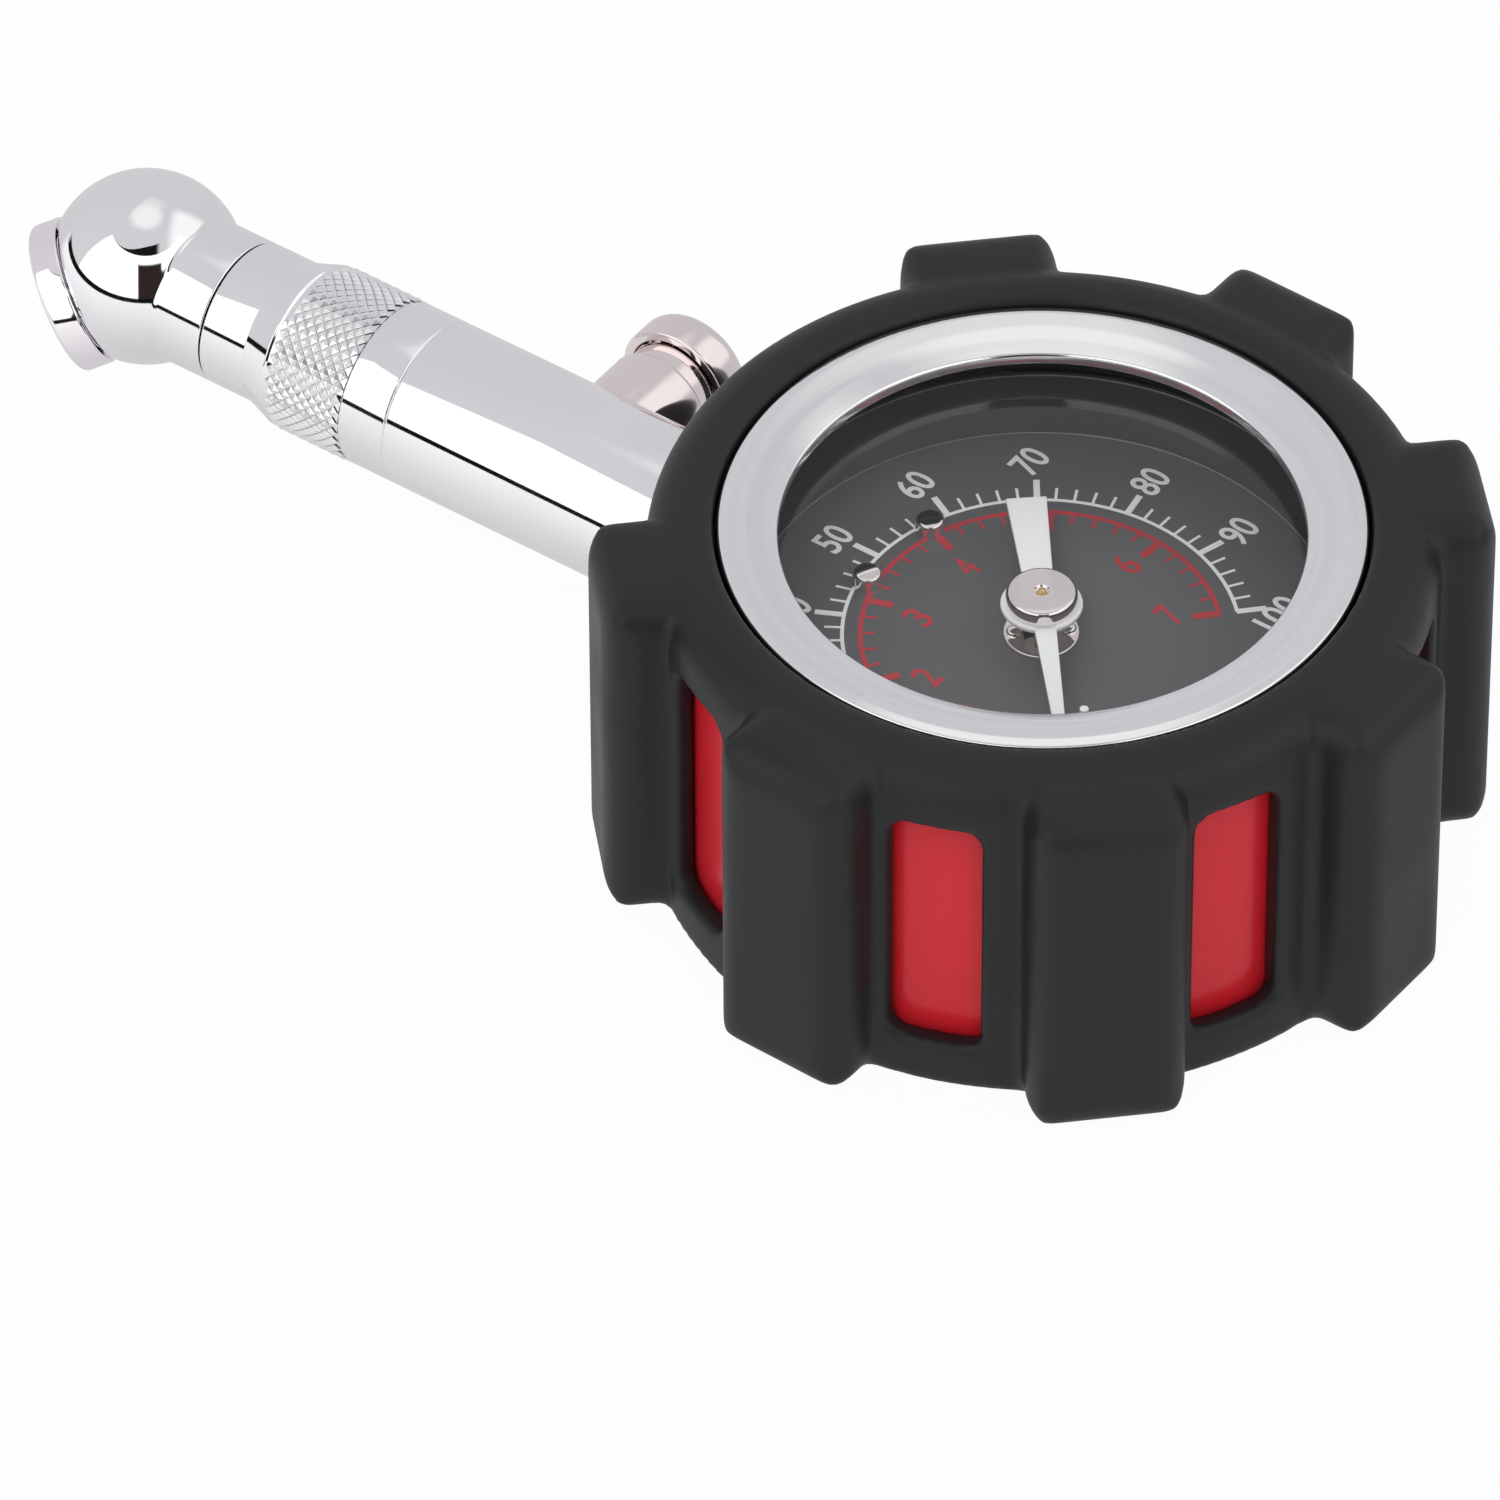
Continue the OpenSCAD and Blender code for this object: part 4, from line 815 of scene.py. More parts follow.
@dataclass
class Boot:
    """Moulded rubber guard with its lugs and windows."""

    weld: float = 1e-6
    voxel: float = 0.48
    smoothing: int = 8
    pull: float = 0.5

    def build(self, node: bpy.types.Object) -> None:
        """Softens the moulded form: every edge and inner corner is rounded as rubber is.

        Args:
            node: The boot's solid.
        """
        shape = bmesh.new()
        shape.from_mesh(node.data)
        bmesh.ops.remove_doubles(shape, verts=shape.verts, dist=self.weld)
        mesh = bpy.data.meshes.new("boot_copy")
        shape.to_mesh(mesh)
        shape.free()
        blank = bpy.data.objects.new("boot_blank", mesh)
        bpy.context.scene.collection.objects.link(blank)
        skin = blank.modifiers.new("skin", "REMESH")
        skin.mode = "VOXEL"
        skin.voxel_size = self.voxel * MM
        skin.use_smooth_shade = True
        relax = blank.modifiers.new("relax", "SMOOTH")
        relax.factor = self.pull
        relax.iterations = self.smoothing
        settle(evaluated(blank, "boot_moulded"), BOOT_RUBBER, Slot.BOOT_RUBBER, "rubber_boot")


@dataclass
class Face:
    """Bezel, lens, gasket and dish: what closes the front of the case."""

    bezel_r: float = 25.15
    bezel_w: float = 4.75
    bezel_z: tuple[float, float] = (29.7, 31.85)
    bezel_dip: float = 1.05
    bezel_rim: tuple[float, float] = (0.9, 0.25)
    bezel_knee: float = 2.6
    crown_r: float = 0.75
    skirt: tuple[float, float] = (24.3, 20.3)
    glass_r: float = 24.2
    lens_z: tuple[float, float] = (26.2, 28.2)
    gasket_w: float = 2.6
    dish: tuple[float, float] = (23.2, 20.0)
    bead_r: float = 0.06
    segments: int = 256

    def bezel(self) -> None:
        """Turns the bezel: a narrow rim, a face that slopes inwards and a skirt in the case."""
        low, high = self.bezel_z
        inner = self.bezel_r - self.bezel_w
        skirt_r, skirt_z = self.skirt
        rim_w, rim_drop = self.bezel_rim
        ring = rounded([(inner, low, 0.35), (skirt_r, low, 0.2), (skirt_r, skirt_z, 0.1), (self.bezel_r, skirt_z, 0.2),
                        (self.bezel_r, high - rim_drop, self.crown_r / 2), (self.bezel_r - rim_w, high, self.crown_r),
                        (self.bezel_r - self.bezel_knee, high - rim_drop, 8 * self.crown_r),
                        (inner, high - self.bezel_dip, 0.3)], closed=True, steps=14)
        settle(turned_mesh("bezel_chrome", ring, closed=True, segments=self.segments), BEZEL_CHROME, Slot.CHROME,
               "bezel_ring")

    def window(self) -> None:
        """Makes the lens and the gasket between it and the bezel."""
        bottom, top = self.lens_z
        low = self.bezel_z[0]
        pane = rounded([(0, bottom, 0), (self.glass_r, bottom, 0.15), (self.glass_r, top, 0.15), (0, top, 0)],
                       closed=False)
        settle(turned_mesh("lens_pane", pane), LENS, Slot.LENS, "lens")
        seal_r = self.glass_r - self.gasket_w
        seal = rounded([(seal_r, top, 0.3), (self.glass_r, top, 0.2), (self.glass_r, low, 0.2), (seal_r, low, 0.4)],
                       closed=True)
        settle(turned_mesh("gasket_rubber", seal, closed=True), SEAL_RUBBER, Slot.BLACK_RUBBER, "lens_gasket")

    def dish_wall(self) -> None:
        """Makes the dish between the dial and the lens, with two thin lighter rings at its edges as painted
        highlights.
        """
        wall_r, foot = self.dish
        bottom = self.lens_z[0]
        wall = rounded([(wall_r, foot, 0.12), (self.glass_r, foot, 0.1), (self.glass_r, bottom, 0.1),
                        (wall_r, bottom, 0.35)], closed=True)
        settle(turned_mesh("dish_wall", wall, closed=True, segments=self.segments), DISH_PAINT, Slot.DIAL_GREY,
               "dish_ring")
        # Thin rings of lighter grey at the wall's foot and top: painted highlights of its two edges.
        spots = ((wall_r + self.bead_r / 3, foot + self.bead_r), (wall_r + self.bead_r, bottom - 2 * self.bead_r))
        beads = [turned_mesh("bead", arc(spot, self.bead_r, 0, 330, 11), closed=True, segments=self.segments)
                 for spot in spots]
        settle(joined("dish_painted_highlight_rings", beads), DISH_PAINTED_HIGHLIGHT, Slot.DIAL_GREY)

    def build(self) -> None:
        """Makes and places the pieces."""
        self.bezel()
        self.window()
        self.dish_wall()


@dataclass(frozen=True)
class Ticks:
    """A row of printed ticks.

    Attributes:
        count: How many there are, both ends of the scale included.
        radii: Where a tick starts and ends.
        width: A tick's width.
        rise: How far the ticks stand over the rest of the print.
    """

    count: int
    radii: Point
    width: float
    rise: float


@dataclass
class Dial:
    """Printed dial with its two scales, numbers, pegs, bush and rivets."""

    face_z: float = 20.0
    zero: float = 225.0
    sweep: float = 270.0
    print_t: float = 0.04
    outer_arc: Point = (15.3, 15.6)
    outer_fine: Ticks = Ticks(51, (15.4, 16.85), 0.23, 0.006)
    outer_main: Ticks = Ticks(11, (15.4, 17.75), 0.52, 0.012)
    inner_arc: Point = (13.85, 14.25)
    inner_fine: Ticks = Ticks(36, (12.85, 14.1), 0.25, 0.006)
    inner_main: Ticks = Ticks(8, (11.95, 14.1), 0.68, 0.012)
    number_ring: float = 19.6
    number_h: float = 2.6
    digit_w: float = 1.28
    digit_gap: float = 0.14
    digit_weight: float = 0.015
    one_narrower: float = 0.3
    inner_places: dict[str, Point] = field(default_factory=lambda: {
        "0": (-7.4, -6.9), "1": (-10.4, -1.1), "2": (-9.1, 4.5), "3": (-3.95, 8.9),
        "4": (2.9, 9.15), "5": (8.0, 6.0), "6": (10.4, -0.85), "7": (7.6, -6.8),
    })
    outer_moves: dict[int, Point] = field(default_factory=lambda: {
        50: (-0.4, -0.1), 60: (-0.5, 0.4), 70: (0.0, 0.6), 90: (0.0, 0.2), 100: (-1.3, 0.15),
    })
    peg_ring: float = 14.7
    peg_angles: tuple[float, float] = (102.0, 71.0)
    peg_r: float = 1.15
    peg_h: float = 1.3
    bush_r: float = 3.0
    bush_t: float = 0.4
    rivet_off: float = 2.15
    rivet_turn: float = 130.0

    def angle(self, share: float) -> float:
        """The angle of a share of the scale, in radians from +X."""
        return math.radians(self.zero - self.sweep * share)

    def band(self, name: str, radii: Point) -> bpy.types.Mesh:
        """A printed arc over the whole scale.

        Args:
            name: The mesh's name.
            radii: Its inner and outer radius.

        Returns:
            The arc as a thin mesh.
        """
        shape = bmesh.new()
        steps = 180
        rows = []
        for i in range(steps + 1):
            a = self.angle(i / steps)
            rows.append([shape.verts.new((r * math.cos(a), r * math.sin(a), z)) for r, z in (
                (radii[0], self.face_z - self.print_t / 2), (radii[1], self.face_z - self.print_t / 2),
                (radii[1], self.face_z + self.print_t / 2), (radii[0], self.face_z + self.print_t / 2))])
        for low, high in zip(rows, rows[1:]):
            for k in range(4):
                shape.faces.new((low[k], low[(k + 1) % 4], high[(k + 1) % 4], high[k]))
        shape.faces.new(rows[0])
        shape.faces.new(rows[-1])
        return finish_mesh(name, shape, Matrix.Scale(MM, 4))

    def ticks(self, tree: RepeatTree, name: str, finish: Finish, row: Ticks) -> bpy.types.Mesh:
        """A row of ticks over the whole scale.

        Args:
            tree: The marks' tree.
            name: The mesh's name.
            finish: The print's finish.
            row: The ticks' sizes.

        Returns:
            The ticks as one mesh.
        """
        low, high = row.radii
        mesh = tree.mesh(name, finish, Count=row.count, Middle_Radius=(low + high) / 2, First=self.angle(0),
                         Step=-math.radians(self.sweep) / (row.count - 1), Length=high - low, Width=row.width,
                         Thickness=self.print_t, Height=self.face_z + row.rise)
        mesh.transform(Matrix.Scale(MM, 4))
        return mesh

    def number(self, text: str, middle: Point, height: float) -> bpy.types.Mesh:
        """A printed number, upright on the dial.

        Args:
            text: Its digits.
            middle: Where its middle lies.
            height: How tall it is.

        Returns:
            The number as a thin mesh.
        """
        curve = bpy.data.curves.new("number_" + text, "FONT")
        curve.body = text
        curve.extrude = 0.5
        curve.offset = 0.0 if text == CLOSING_DIGIT else self.digit_weight
        carrier = bpy.data.objects.new(curve.name, curve)
        bpy.context.scene.collection.objects.link(carrier)
        mesh = evaluated(carrier, curve.name)
        bpy.data.curves.remove(curve)
        low = Vector([min(v.co[k] for v in mesh.vertices) for k in range(3)])
        high = Vector([max(v.co[k] for v in mesh.vertices) for k in range(3)])
        span = high - low
        width = len(text) * self.digit_w + (len(text) - 1) * self.digit_gap
        if text.startswith("1"):
            width -= self.one_narrower
        scale = Matrix.Diagonal((width / span.x, height / span.y, self.print_t / span.z, 1))
        there = Matrix.Translation((middle[0], middle[1], self.face_z))
        mesh.transform(Matrix.Scale(MM, 4) @ there @ scale @ Matrix.Translation(-(low + high) / 2))
        return mesh

    def scales(self) -> None:
        """Prints the two scales."""
        tree = ring_marks_tree()
        white = [self.band("outer_arc", self.outer_arc), self.ticks(tree, "outer_fine", WHITE_PRINT, self.outer_fine),
                 self.ticks(tree, "outer_main", WHITE_PRINT, self.outer_main)]
        red = [self.band("inner_arc", self.inner_arc), self.ticks(tree, "inner_fine", RED_PRINT, self.inner_fine),
               self.ticks(tree, "inner_main", RED_PRINT, self.inner_main)]
        for tenth in range(self.outer_main.count):
            a = self.angle(tenth / 10)
            move = self.outer_moves.get(10 * tenth, (0.0, 0.0))
            middle = (self.number_ring * math.cos(a) + move[0], self.number_ring * math.sin(a) + move[1])
            white.append(self.number(str(10 * tenth), middle, self.number_h))
        for text, middle in self.inner_places.items():
            red.append(self.number(text, middle, self.number_h))
        settle(joined("scale_outer_print", white), WHITE_PRINT, Slot.WHITE)
        settle(joined("scale_inner_print", red), RED_PRINT, Slot.RED_ENAMEL)

    def spot(self, radius: float, degrees: float) -> Axis:
        """The upright axis through a place on the dial."""
        a = math.radians(degrees)
        return Axis((radius * math.cos(a), radius * math.sin(a), self.face_z), (0, 0, 1))

    def fittings(self) -> None:
        """Turns the pegs, the bush and its rivets."""
        shank_r = self.peg_r * 0.6
        peg = rounded([(0, -0.9, 0), (shank_r, -0.9, 0), (shank_r, 0, 0), (self.peg_r, 0, 0),
                       (self.peg_r, self.peg_h, 0.25), (0, self.peg_h, 0)], closed=False)
        pegs = [turned_mesh("peg", peg, self.spot(self.peg_ring, turn), segments=64) for turn in self.peg_angles]
        settle(joined("dial_peg_pair", pegs), NICKEL, Slot.NICKEL, "dial_pegs")
        hole_r, shank_r = 0.6, 1.55
        flange = rounded([(hole_r, -1.4, 0), (shank_r, -1.4, 0.1), (shank_r, 0, 0), (self.bush_r, 0, 0.05),
                          (self.bush_r, self.bush_t, 0.15), (hole_r, self.bush_t, 0.1)], closed=True)
        settle(turned_mesh("dial_bush_turned", flange, self.spot(0, 0), closed=True, segments=96), NICKEL, Slot.NICKEL,
               "dial_bush")
        rivet = [(0, -1.3), (0.55, -1.3), (0.55, -1.0), (0.4, -1.0), (0.4, self.bush_t), (0.6, self.bush_t)]
        rivet += arc((0.35, self.bush_t + 0.1), 0.25, 0, 90, 6) + [(0, self.bush_t + 0.35)]
        rivets = [turned_mesh("rivet", rivet, self.spot(self.rivet_off, turn), segments=40)
                  for turn in (self.rivet_turn, self.rivet_turn + 180)]
        settle(joined("dial_rivet_pair", rivets), NICKEL, Slot.NICKEL, "dial_rivets")

    def build(self) -> None:
        """Prints the scales and makes the fittings."""
        self.scales()
        self.fittings()


@dataclass
class Pointer:
    """White pointer with its hub and plated cap."""

    turn: float = 220.5
    z: float = 23.0
    thick: float = 0.4
    tip: tuple[float, float, float] = (14.5, 1.9, 0.9)
    tail: tuple[float, float, float] = (12.1, 2.1, 3.2)
    point_l: float = 0.3
    rim_angle: float = 1.2
    rim_w: float = 0.07
    hub_r: float = 3.2
    hole_r: float = 0.52
    tab_at: float = 11.7
    tab_w: float = 0.8
    tab_drop: float = 0.3
    boss_r: float = 1.4
    boss_h: float = 1.0
    pin_r: float = 0.36
    cap_r: float = 2.8
    cap_h: float = 1.3

    def blade(self, about: Matrix) -> bpy.types.Mesh:
        """Cuts the blade out of sheet.

        Args:
            about: Turns it to where it rests.

        Returns:
            The blade's mesh.
        """
        length, root, end = self.tip
        back, back_root, back_end = self.tail
        shoulder = length - self.point_l
        outline = [(0, -root / 2), (shoulder, -end / 2), (length, 0), (shoulder, end / 2), (0, root / 2),
                   (0, back_root / 2), (-back, back_end / 2), (-back, -back_end / 2), (0, -back_root / 2)]
        shape = bmesh.new()
        low, high = ([shape.verts.new((x, y, z)) for x, y in outline] for z in (self.z, self.z + self.thick))
        shape.faces.new(low)
        shape.faces.new(high)
        for i in range(len(outline)):
            j = (i + 1) % len(outline)
            shape.faces.new((low[i], low[j], high[j], high[i]))
        bmesh.ops.recalc_face_normals(shape, faces=shape.faces)
        rim = [edge for edge in shape.edges if edge.calc_face_angle(0) > self.rim_angle]
        bmesh.ops.bevel(shape, geom=rim, offset=self.rim_w, segments=3, affect="EDGES", profile=0.5)
        return finish_mesh("blade", shape, Matrix.Scale(MM, 4) @ about, 60)

    def cap(self) -> None:
        """Turns the plated cap, with the end of the shaft in its dimple."""
        foot = self.z + self.thick
        top = foot + self.cap_h
        form = rounded([(self.hole_r, foot, 0), (self.cap_r, foot, 0.12), (self.cap_r, top, 0.45), (0.62, top, 0.06),
                        (0.5, top - 0.16, 0.1), (0.3, top - 0.26, 0.1), (0, top - 0.3, 0)], closed=False)
        form = [(0, top - 0.85), (self.hole_r, top - 0.85)] + form
        settle(turned_mesh("pointer_cap", form, segments=128), NICKEL, Slot.NICKEL, "hub_cap", body=Body.POINTER)
        rise = top - 0.24
        pin = [(0, top - 0.6), (self.pin_r, top - 0.6), (self.pin_r, rise)] + arc((0, rise), self.pin_r, 0, 60, 6)[1:]
        pin += [(0, rise + self.pin_r * 0.88)]
        settle(turned_mesh("pinion_end", pin, segments=48), BRASS, Slot.BRASS, body=Body.POINTER)

    def build(self) -> None:
        """Joins the blade, its hub and the tab that meets the stop, and adds the cap."""
        about = Matrix.Rotation(math.radians(self.turn), 4, "Z")
        high = self.z + self.thick
        boss_r, boss_z = self.boss_r, self.z - self.boss_h
        disc = rounded([(self.hole_r, boss_z, 0), (boss_r, boss_z, 0.1), (boss_r, self.z, 0),
                        (self.hub_r, self.z, 0.1), (self.hub_r, high, 0.12), (self.hole_r, high, 0)], closed=True)
        hub = turned_mesh("hub", disc, closed=True, segments=96)
        shape = bmesh.new()
        bmesh.ops.create_cube(shape, size=self.tab_w)
        tab = finish_mesh("tab", shape, Matrix.Scale(MM, 4) @ about @ Matrix.Translation(
            (self.tab_at, 0, self.z - self.tab_drop)))
        settle(joined("pointer_white", [self.blade(about), hub, tab], 50), WHITE_PAINT, Slot.WHITE, "needle",
               body=Body.POINTER)
        self.cap()


@dataclass
class Stem:
    """Chrome tube from the case to the collar, and the knurled collar."""

    radius: float = 7.0
    start: float = 28.8
    end: float = 58.7
    thread: tuple[float, float] = (5.0, 64.7)
    knurl: tuple[float, float] = (62.9, 70.6)
    knurl_depth: float = 0.17
    cone_end: float = 73.2
    neck_r: float = 6.1
    neck_end: float = 77.4
    bore_r: float = 3.5
    pitch: float = 1.075

    def build(self) -> None:
        """Turns the tube and the collar and rolls the knurl."""
        thread_r, thread_end = self.thread
        tube = rounded([(0, self.start, 0), (self.radius, self.start, 0.3), (self.radius, self.end, 0.22),
                        (thread_r, self.end, 0), (thread_r, thread_end, 0.3), (0, thread_end, 0)], closed=False)
        settle(turned_mesh("stem_chrome", tube, STEM_AXIS, segments=192), CHROME, Slot.CHROME, "stem_tube")
        first, last = self.knurl
        base = self.radius - self.knurl_depth
        form = rounded([(thread_r + 0.1, self.end, 0), (self.radius, self.end, 0.22), (self.radius, first, 0.12),
                        (base, first + 0.2, 0.1), (base, last - 0.2, 0.1), (self.radius, last, 0.12),
                        (self.neck_r, self.cone_end, 0.2), (self.neck_r, self.neck_end, 0.16),
                        (self.bore_r, self.neck_end, 0)], closed=False)
        form += [(self.bore_r, thread_end + 1.3), (thread_r + 0.1, thread_end + 1.3)]
        body = turned_mesh("collar_body", form, STEM_AXIS, closed=True, segments=192)
        around = round(TAU * self.radius / self.pitch)
        rows = 2 * round((last - first - 0.5) / self.pitch) - 1
        step = (last - first - 0.45) / (rows + 1)
        knurl = knurl_tree().mesh(
            "knurl", KNURL_CHROME, Around=around, Rows=rows, Radius=base + self.knurl_depth / 2,
            First_Row=first + 0.225 + step, Row_Step=step, Half_Width=self.radius * math.pi / around * 0.94,
            Half_Length=step * 0.94, Depth=self.knurl_depth, Blunt=0.22)
        knurl.transform(STEM_AXIS.matrix())
        settle(body, CHROME, Slot.CHROME, "knurled_collar")
        settle(joined("collar_knurl", [knurl], 30), KNURL_CHROME, Slot.CHROME)


@dataclass
class Chuck:
    """Swivelling ball head with the screwed foot that takes the tyre valve."""

    neck_r: float = 6.1
    neck_start: float = 77.55
    ball_y: float = 87.15
    ball_r: float = 7.9
    fillet: float = 0.8
    flat: float = 5.0
    recess_r: float = 5.0
    foot_r: float = 6.2
    foot: tuple[float, float] = (5.3, 7.75)
    hole_r: float = 4.05
    thread_end: float = 3.1
    spigot: tuple[float, float] = (3.44, 66.0)

    def build(self) -> None:
        """Turns the head, cuts its flat and recess, and turns the foot."""
        reach = math.sqrt((self.ball_r + self.fillet) ** 2 - (self.neck_r + self.fillet) ** 2)
        centre = (self.neck_r + self.fillet, self.ball_y - reach)
        meet = math.degrees(math.atan2(reach, -centre[0])) % 360
        spigot_r, spigot_end = self.spigot
        form = rounded([(0, spigot_end, 0), (spigot_r, spigot_end, 0.2), (spigot_r, self.neck_start, 0),
                        (self.neck_r, self.neck_start, 0.16), (self.neck_r, centre[1], 0)], closed=False)
        form += arc(centre, self.fillet, 180, meet, 12)[1:]
        low = math.degrees(math.asin(-reach * self.ball_r / (self.ball_r + self.fillet) / self.ball_r))
        form += arc((0, self.ball_y), self.ball_r, low, 90, 72)[1:-1] + [(0, self.ball_y + self.ball_r)]
        head = show(turned_mesh("head_ball", form, STEM_AXIS, segments=192), CHROME)
        cutter_form = rounded([(0, 0.05, 0), (self.recess_r, 0.05, 0), (self.recess_r, self.flat, 0.12),
                               (self.ball_r + 1, self.flat, 0), (self.ball_r + 1, self.ball_r + 1, 0),
                               (0, self.ball_r + 1, 0)], closed=False)
        cutter = show(turned_mesh("head_cutter", cutter_form, MOUTH_AXIS, segments=192), CHROME)
        cut = head.modifiers.new("flat", "BOOLEAN")
        cut.operation = "DIFFERENCE"
        cut.solver = "EXACT"
        cut.object = cutter
        mesh = evaluated(head, "head_ball_cut")
        bpy.data.objects.remove(cutter)
        mesh.set_sharp_from_angle(angle=math.radians(30))
        settle(mesh, CHROME, Slot.CHROME, "chuck_head", body=Body.CHUCK)
        low_z, high_z = self.foot
        ring = rounded([(self.hole_r, self.thread_end, 0.1), (4.9, self.thread_end, 0.1), (4.9, low_z, 0),
                        (self.foot_r, low_z, 0.25), (self.foot_r, high_z, 0.4), (self.hole_r, high_z, 0.45)],
                       closed=True)
        settle(turned_mesh("foot_ring_turned", ring, MOUTH_AXIS, closed=True), FOOT_NICKEL, Slot.NICKEL,
               "chuck_foot", body=Body.CHUCK)


@dataclass
class Bleeder:
    """Bleeder valve: its boss on the stem and its domed push button."""

    boss_r: float = 4.45
    boss: tuple[float, float] = (5.4, 11.0)
    slim_r: float = 4.0
    slim_end: float = 13.1
    pocket: tuple[float, float] = (2.6, 7.9)
    button_r: float = 5.0
    button: tuple[float, float] = (12.9, 17.0)
    dome: float = 0.8
    edge: float = 1.4
    bore_r: float = 4.15
    ceiling: float = 14.8

    def build(self) -> None:
        """Turns the boss and the button."""
        start, shoulder = self.boss
        pocket_r, pocket_end = self.pocket
        form = rounded([(1.0, start, 0), (self.boss_r, start, 0), (self.boss_r, shoulder, 0.45),
                        (self.slim_r, shoulder, 0.1), (self.slim_r, self.slim_end, 0.25),
                        (pocket_r, self.slim_end, 0.1), (pocket_r, pocket_end, 0), (1.0, pocket_end, 0)], closed=True)
        settle(turned_mesh("bleeder_boss", form, BLEED_AXIS, closed=True, segments=128), NICKEL, Slot.NICKEL,
               "bleed_boss")
        low, high = self.button
        dome_r = (self.button_r ** 2 + self.dome ** 2) / (2 * self.dome)
        half = math.degrees(math.asin((self.button_r - self.edge * 0.8) / dome_r))
        top = arc((0, high - dome_r), dome_r, 90, 90 - half, 20)
        edge = rounded([top[-1] + (0,), (self.button_r, high - self.dome, self.edge), (self.button_r, low, 0.25),
                        (self.bore_r, low, 0.15), (self.bore_r, self.ceiling, 0.3), (0, self.ceiling, 0)],
                       closed=False, steps=8)
        form = [(0.0, high)] + top[1:] + edge[1:]
        cap = turned_mesh("cap", form, BLEED_AXIS, segments=128)
        rod = [(0, 1.05), (1.3, 1.05), (1.3, 1.6), (0.9, 1.6), (0.9, self.ceiling + 0.3), (0, self.ceiling + 0.3)]
        settle(joined("bleeder_button", [cap, turned_mesh("rod", rod, BLEED_AXIS, segments=48)]), NICKEL, Slot.NICKEL,
               "bleed_button", body=Body.BLEEDER)


@dataclass(frozen=True)
class Patch:
    """One thing that the room shows to polished metal.

    Attributes:
        bounds: Measures of the direction, each with where the patch starts and where it is full.
        colour: The patch's colour, linear.
    """

    bounds: tuple[tuple[str, float, float], ...]
    colour: Colour


PALE_CEILING = Patch((("z", 0.72, 0.84), ("across", 0.36, 0.14), ("y", 0.41, 0.33), ("z", 0.97, 0.93),
                      ("front", -0.1, -0.3)), (0.8, 0.8, 0.8))
OVERHEAD_LAMP = Patch((("lamp", 0.94, 0.99),), (0.93, 0.93, 0.93))
FAR_WINDOW = Patch((("side", 0.35, 0.55), ("front", -0.55, -0.35), ("z", 0.2, 0.4)), (1.02, 1.0, 0.99))
WHITE_CARD = Patch((("front", 0.045, 0.06), ("side", 0.87, 0.83), ("z", 0.81, 0.8)), (1.3, 1.3, 1.3))
CARD_RIM = Patch((("z", 0.803, 0.8031), ("under rim", 0.0, 0.0001), ("side", 0.3, 0.2), ("front", 0.045, 0.06),
                  ("side", 0.87, 0.83)), (0.01, 0.009, 0.009))
DARK_STAND = Patch((("from stand", 0.25, 0.22), ("z", 0.7, 0.66), ("front", 0.3, 0.36)), (0.03, 0.02, 0.018))
ROOM_PATCHES = (PALE_CEILING, OVERHEAD_LAMP, FAR_WINDOW, WHITE_CARD, CARD_RIM, DARK_STAND)


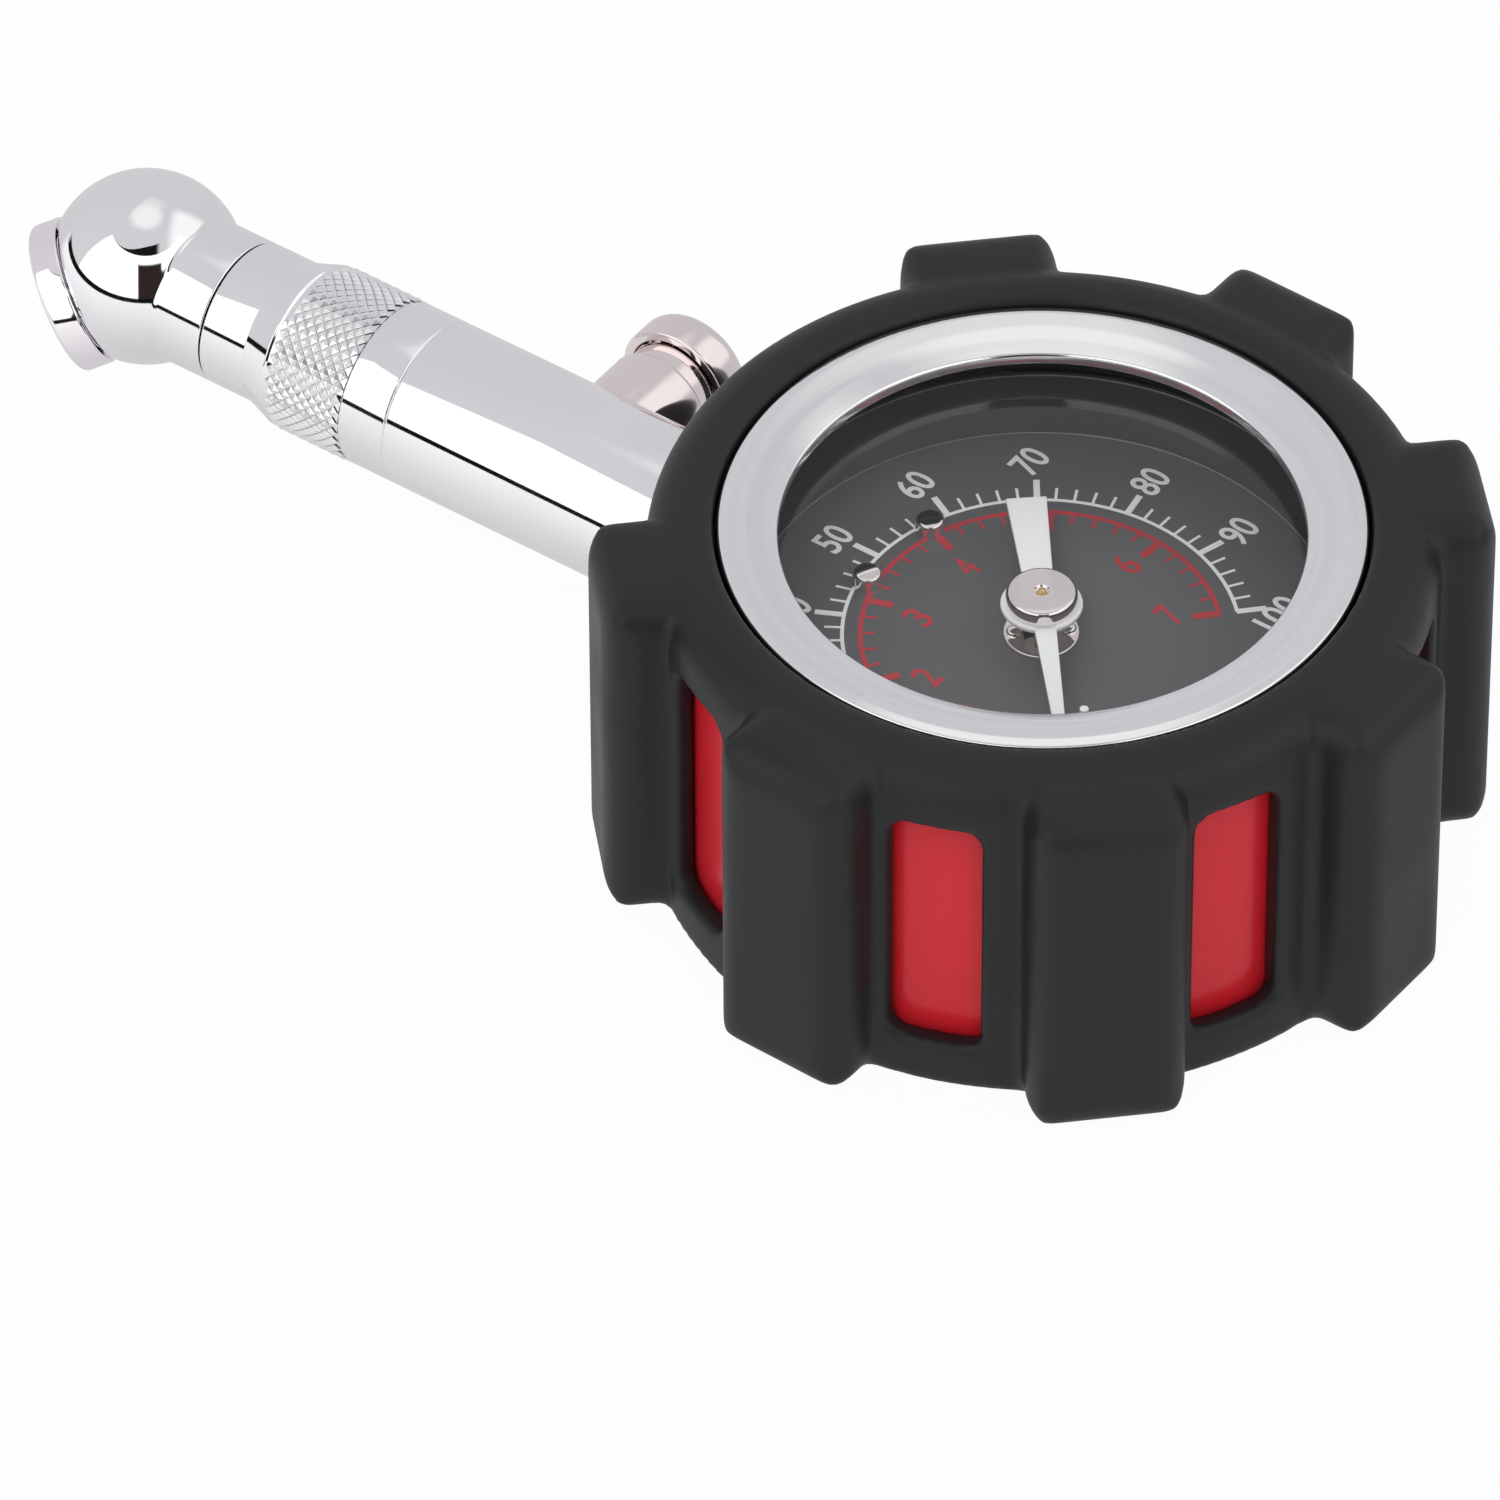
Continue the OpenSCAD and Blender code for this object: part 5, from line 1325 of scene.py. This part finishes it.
@dataclass
class Studio:
    """Pale floor, soft light and the camera.

    Attributes:
        azimuth: The camera's azimuth in degrees.
        elevation: Its height above the horizon in degrees.
        roll: Its roll in degrees.
        focal: Focal length in millimetres on a 36 mm sensor.
        distance: From the target, in metres.
        target: What it looks at, in metres.
        right: The camera's right, on the floor.
        sky: Strength of the plain light from all round.
        floor_half: Half the floor's side, in metres.
        floor_white: How much of the floor the camera sees as plain white.
        lamps: Each lamp's name, place, side and power.
    """

    azimuth: float = -54.271
    elevation: float = 43.4
    roll: float = -0.273
    focal: float = 372.19
    distance: float = 1.2
    target: tuple[float, float, float] = (-0.019378, 0.013926, 0.015)
    right: Point = (0.584, -0.812)
    sky: float = 0.5
    floor_half: float = 4.0
    floor_white: float = 0.96
    lamps: tuple[tuple[str, tuple[float, float, float], float, float], ...] = (
        ("key", (-0.55, -0.15, 1.0), 0.7, 4.2), ("fill", (0.5, -0.7, 0.7), 0.8, 2.2),
        ("back", (0.3, 0.8, 0.8), 0.6, 1.6))

    def camera(self) -> None:
        """Sets the camera up."""
        az, el, roll = (math.radians(a) for a in (self.azimuth, self.elevation, self.roll))
        back = Vector((math.sin(az) * math.cos(el), -math.cos(az) * math.cos(el), math.sin(el)))
        right = Vector((math.cos(az), math.sin(az), 0))
        up = back.cross(right)
        turned_right = right * math.cos(roll) + up * math.sin(roll)
        turned_up = up * math.cos(roll) - right * math.sin(roll)
        lens = bpy.data.cameras.new("camera")
        lens.lens = self.focal
        lens.sensor_width = 36
        camera = bpy.data.objects.new("camera", lens)
        bpy.context.scene.collection.objects.link(camera)
        matrix = Matrix((turned_right, turned_up, back)).transposed().to_4x4()
        matrix.translation = Vector(self.target) + back * self.distance
        camera.matrix_world = matrix
        bpy.context.scene.camera = camera

    def lamp(self, name: str, place: tuple[float, float, float], size: float, watts: float) -> None:
        """Hangs a soft square lamp that faces the gauge.

        Args:
            name: The lamp's name.
            place: Where it hangs, in metres.
            size: Its side, in metres.
            watts: Its power.
        """
        light = bpy.data.lights.new(name, "AREA")
        light.size = size
        light.energy = watts
        holder = bpy.data.objects.new(name, light)
        holder.location = place
        holder.rotation_euler = (Vector(self.target) - Vector(place)).to_track_quat("-Z", "Y").to_euler()
        holder.visible_glossy = False
        bpy.context.scene.collection.objects.link(holder)

    def tent(self, desk: NodeDesk) -> bpy.types.NodeSocket:
        """What polished metal mirrors: a grey room, a white card, a dark stand and a pale table.

        Args:
            desk: The world's desk.

        Returns:
            The colour of each direction.
        """
        x, y, z = desk.parts(desk.add("ShaderNodeTexCoord").outputs["Generated"])
        side = desk.maths("SUBTRACT", desk.times(x, self.right[0]), desk.times(y, -self.right[1]))
        front = desk.maths("ADD", desk.times(x, self.right[1]), desk.times(y, -self.right[0]))
        room = desk.blend(desk.span(x, 0.7, -0.7), rgba((0.645, 0.638, 0.665)), rgba((0.68, 0.675, 0.7)))
        rim_top = desk.maths("ADD", 0.805, desk.span(side, -0.61, 0.11, 0.0, 0.1))
        measures = {
            "y": y, "z": z, "side": side, "front": front, "across": desk.maths("ABSOLUTE", side),
            "lamp": desk.maths("ADD", desk.times(z, 0.98), desk.times(front, -0.2)),
            "under rim": desk.maths("SUBTRACT", rim_top, z),
            "from stand": desk.maths("ABSOLUTE", desk.maths("SUBTRACT", side, 0.08)),
        }
        for patch in ROOM_PATCHES:
            mask = desk.times(*(desk.span(measures[name], start, end) for name, start, end in patch.bounds))
            room = desk.blend(mask, room, rgba(patch.colour))
        table = desk.blend(desk.span(x, 0.05, -0.15), rgba((0.65, 0.645, 0.66)),
                           desk.blend(desk.maths("ADD", 1.0, z), rgba((0.645, 0.645, 0.655)), rgba(WHITE)))
        room = desk.blend(desk.span(z, 0.0, -0.01), room, table)
        edge = desk.times(desk.span(desk.maths("ABSOLUTE", z), 0.055, 0.04), desk.span(x, -0.05, -0.2))
        return desk.blend(edge, room, rgba((0.006, 0.006, 0.006)))

    def world(self) -> None:
        """Plain light for matt surfaces and the tent for polished ones."""
        world = bpy.data.worlds.new("tent")
        world.use_nodes = True
        bpy.context.scene.world = world
        desk = NodeDesk(world.node_tree)
        plain = world.node_tree.nodes["Background"]
        plain.inputs["Color"].default_value = rgba(WHITE)
        plain.inputs["Strength"].default_value = self.sky
        shine = desk.add("ShaderNodeBackground")
        desk.feed(self.tent(desk), shine.inputs["Color"])
        white = desk.add("ShaderNodeBackground")
        white.inputs["Color"].default_value = rgba(WHITE)
        path = desk.add("ShaderNodeLightPath")
        lit = desk.mix(path.outputs["Is Glossy Ray"], plain.outputs[0], shine.outputs[0])
        seen = desk.maths("MAXIMUM", path.outputs["Is Camera Ray"], path.outputs["Is Transmission Ray"])
        desk.feed(desk.mix(seen, lit, white.outputs[0]), world.node_tree.nodes["World Output"].inputs["Surface"])

    def floor(self) -> None:
        """Lays the pale floor, which keeps a light shadow."""
        mesh = bpy.data.meshes.new("floor")
        half = self.floor_half
        mesh.from_pydata([(-half, -half, 0), (half, -half, 0), (half, half, 0), (-half, half, 0)], [], [(0, 1, 2, 3)])
        material = bpy.data.materials.new("floor_pale")
        material.use_nodes = True
        desk = NodeDesk(material.node_tree)
        matt = material.node_tree.nodes["Principled BSDF"]
        matt.inputs["Base Color"].default_value = rgba((0.85, 0.85, 0.855))
        matt.inputs["Roughness"].default_value = 0.9
        matt.inputs["Specular IOR Level"].default_value = 0.0
        glow = desk.add("ShaderNodeEmission")
        glow.inputs["Color"].default_value = rgba(WHITE)
        path = desk.add("ShaderNodeLightPath")
        seen = desk.maths("MAXIMUM", path.outputs["Is Camera Ray"], path.outputs["Is Transmission Ray"])
        mixed = desk.mix(desk.times(seen, self.floor_white), matt.outputs[0], glow.outputs[0])
        desk.feed(mixed, material.node_tree.nodes["Material Output"].inputs["Surface"])
        floor = bpy.data.objects.new("floor", mesh)
        mesh.materials.append(material)
        bpy.context.scene.collection.objects.link(floor)
        floor.visible_glossy = False

    def build(self) -> None:
        """Sets up the whole studio."""
        bpy.context.scene.view_settings.view_transform = "Standard"
        self.camera()
        self.world()
        self.floor()
        for name, place, size, watts in self.lamps:
            self.lamp(name, place, size, watts)


def dress_solids(frame: dict) -> None:
    """Gives every solid of the frame the finish of its slot.
    """
    for part in frame["record"]["subparts"]:
        node = frame["nodes"][part["node"]]
        node.data.materials.clear()
        node.data.materials.append(SLOT_FINISH[Slot(part["material_slot"])].material())


def main() -> None:
    """Builds the gauge and its studio."""
    logging.basicConfig(level=logging.INFO, format="%(name)s: %(message)s")
    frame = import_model()
    dress_solids(frame)
    Studio().build()
    Boot().build(frame["nodes"]["rubber_boot"])
    Face().build()
    Dial().build()
    Pointer().build()
    Stem().build()
    Chuck().build()
    Bleeder().build()


if __name__ == "__main__":
    main()
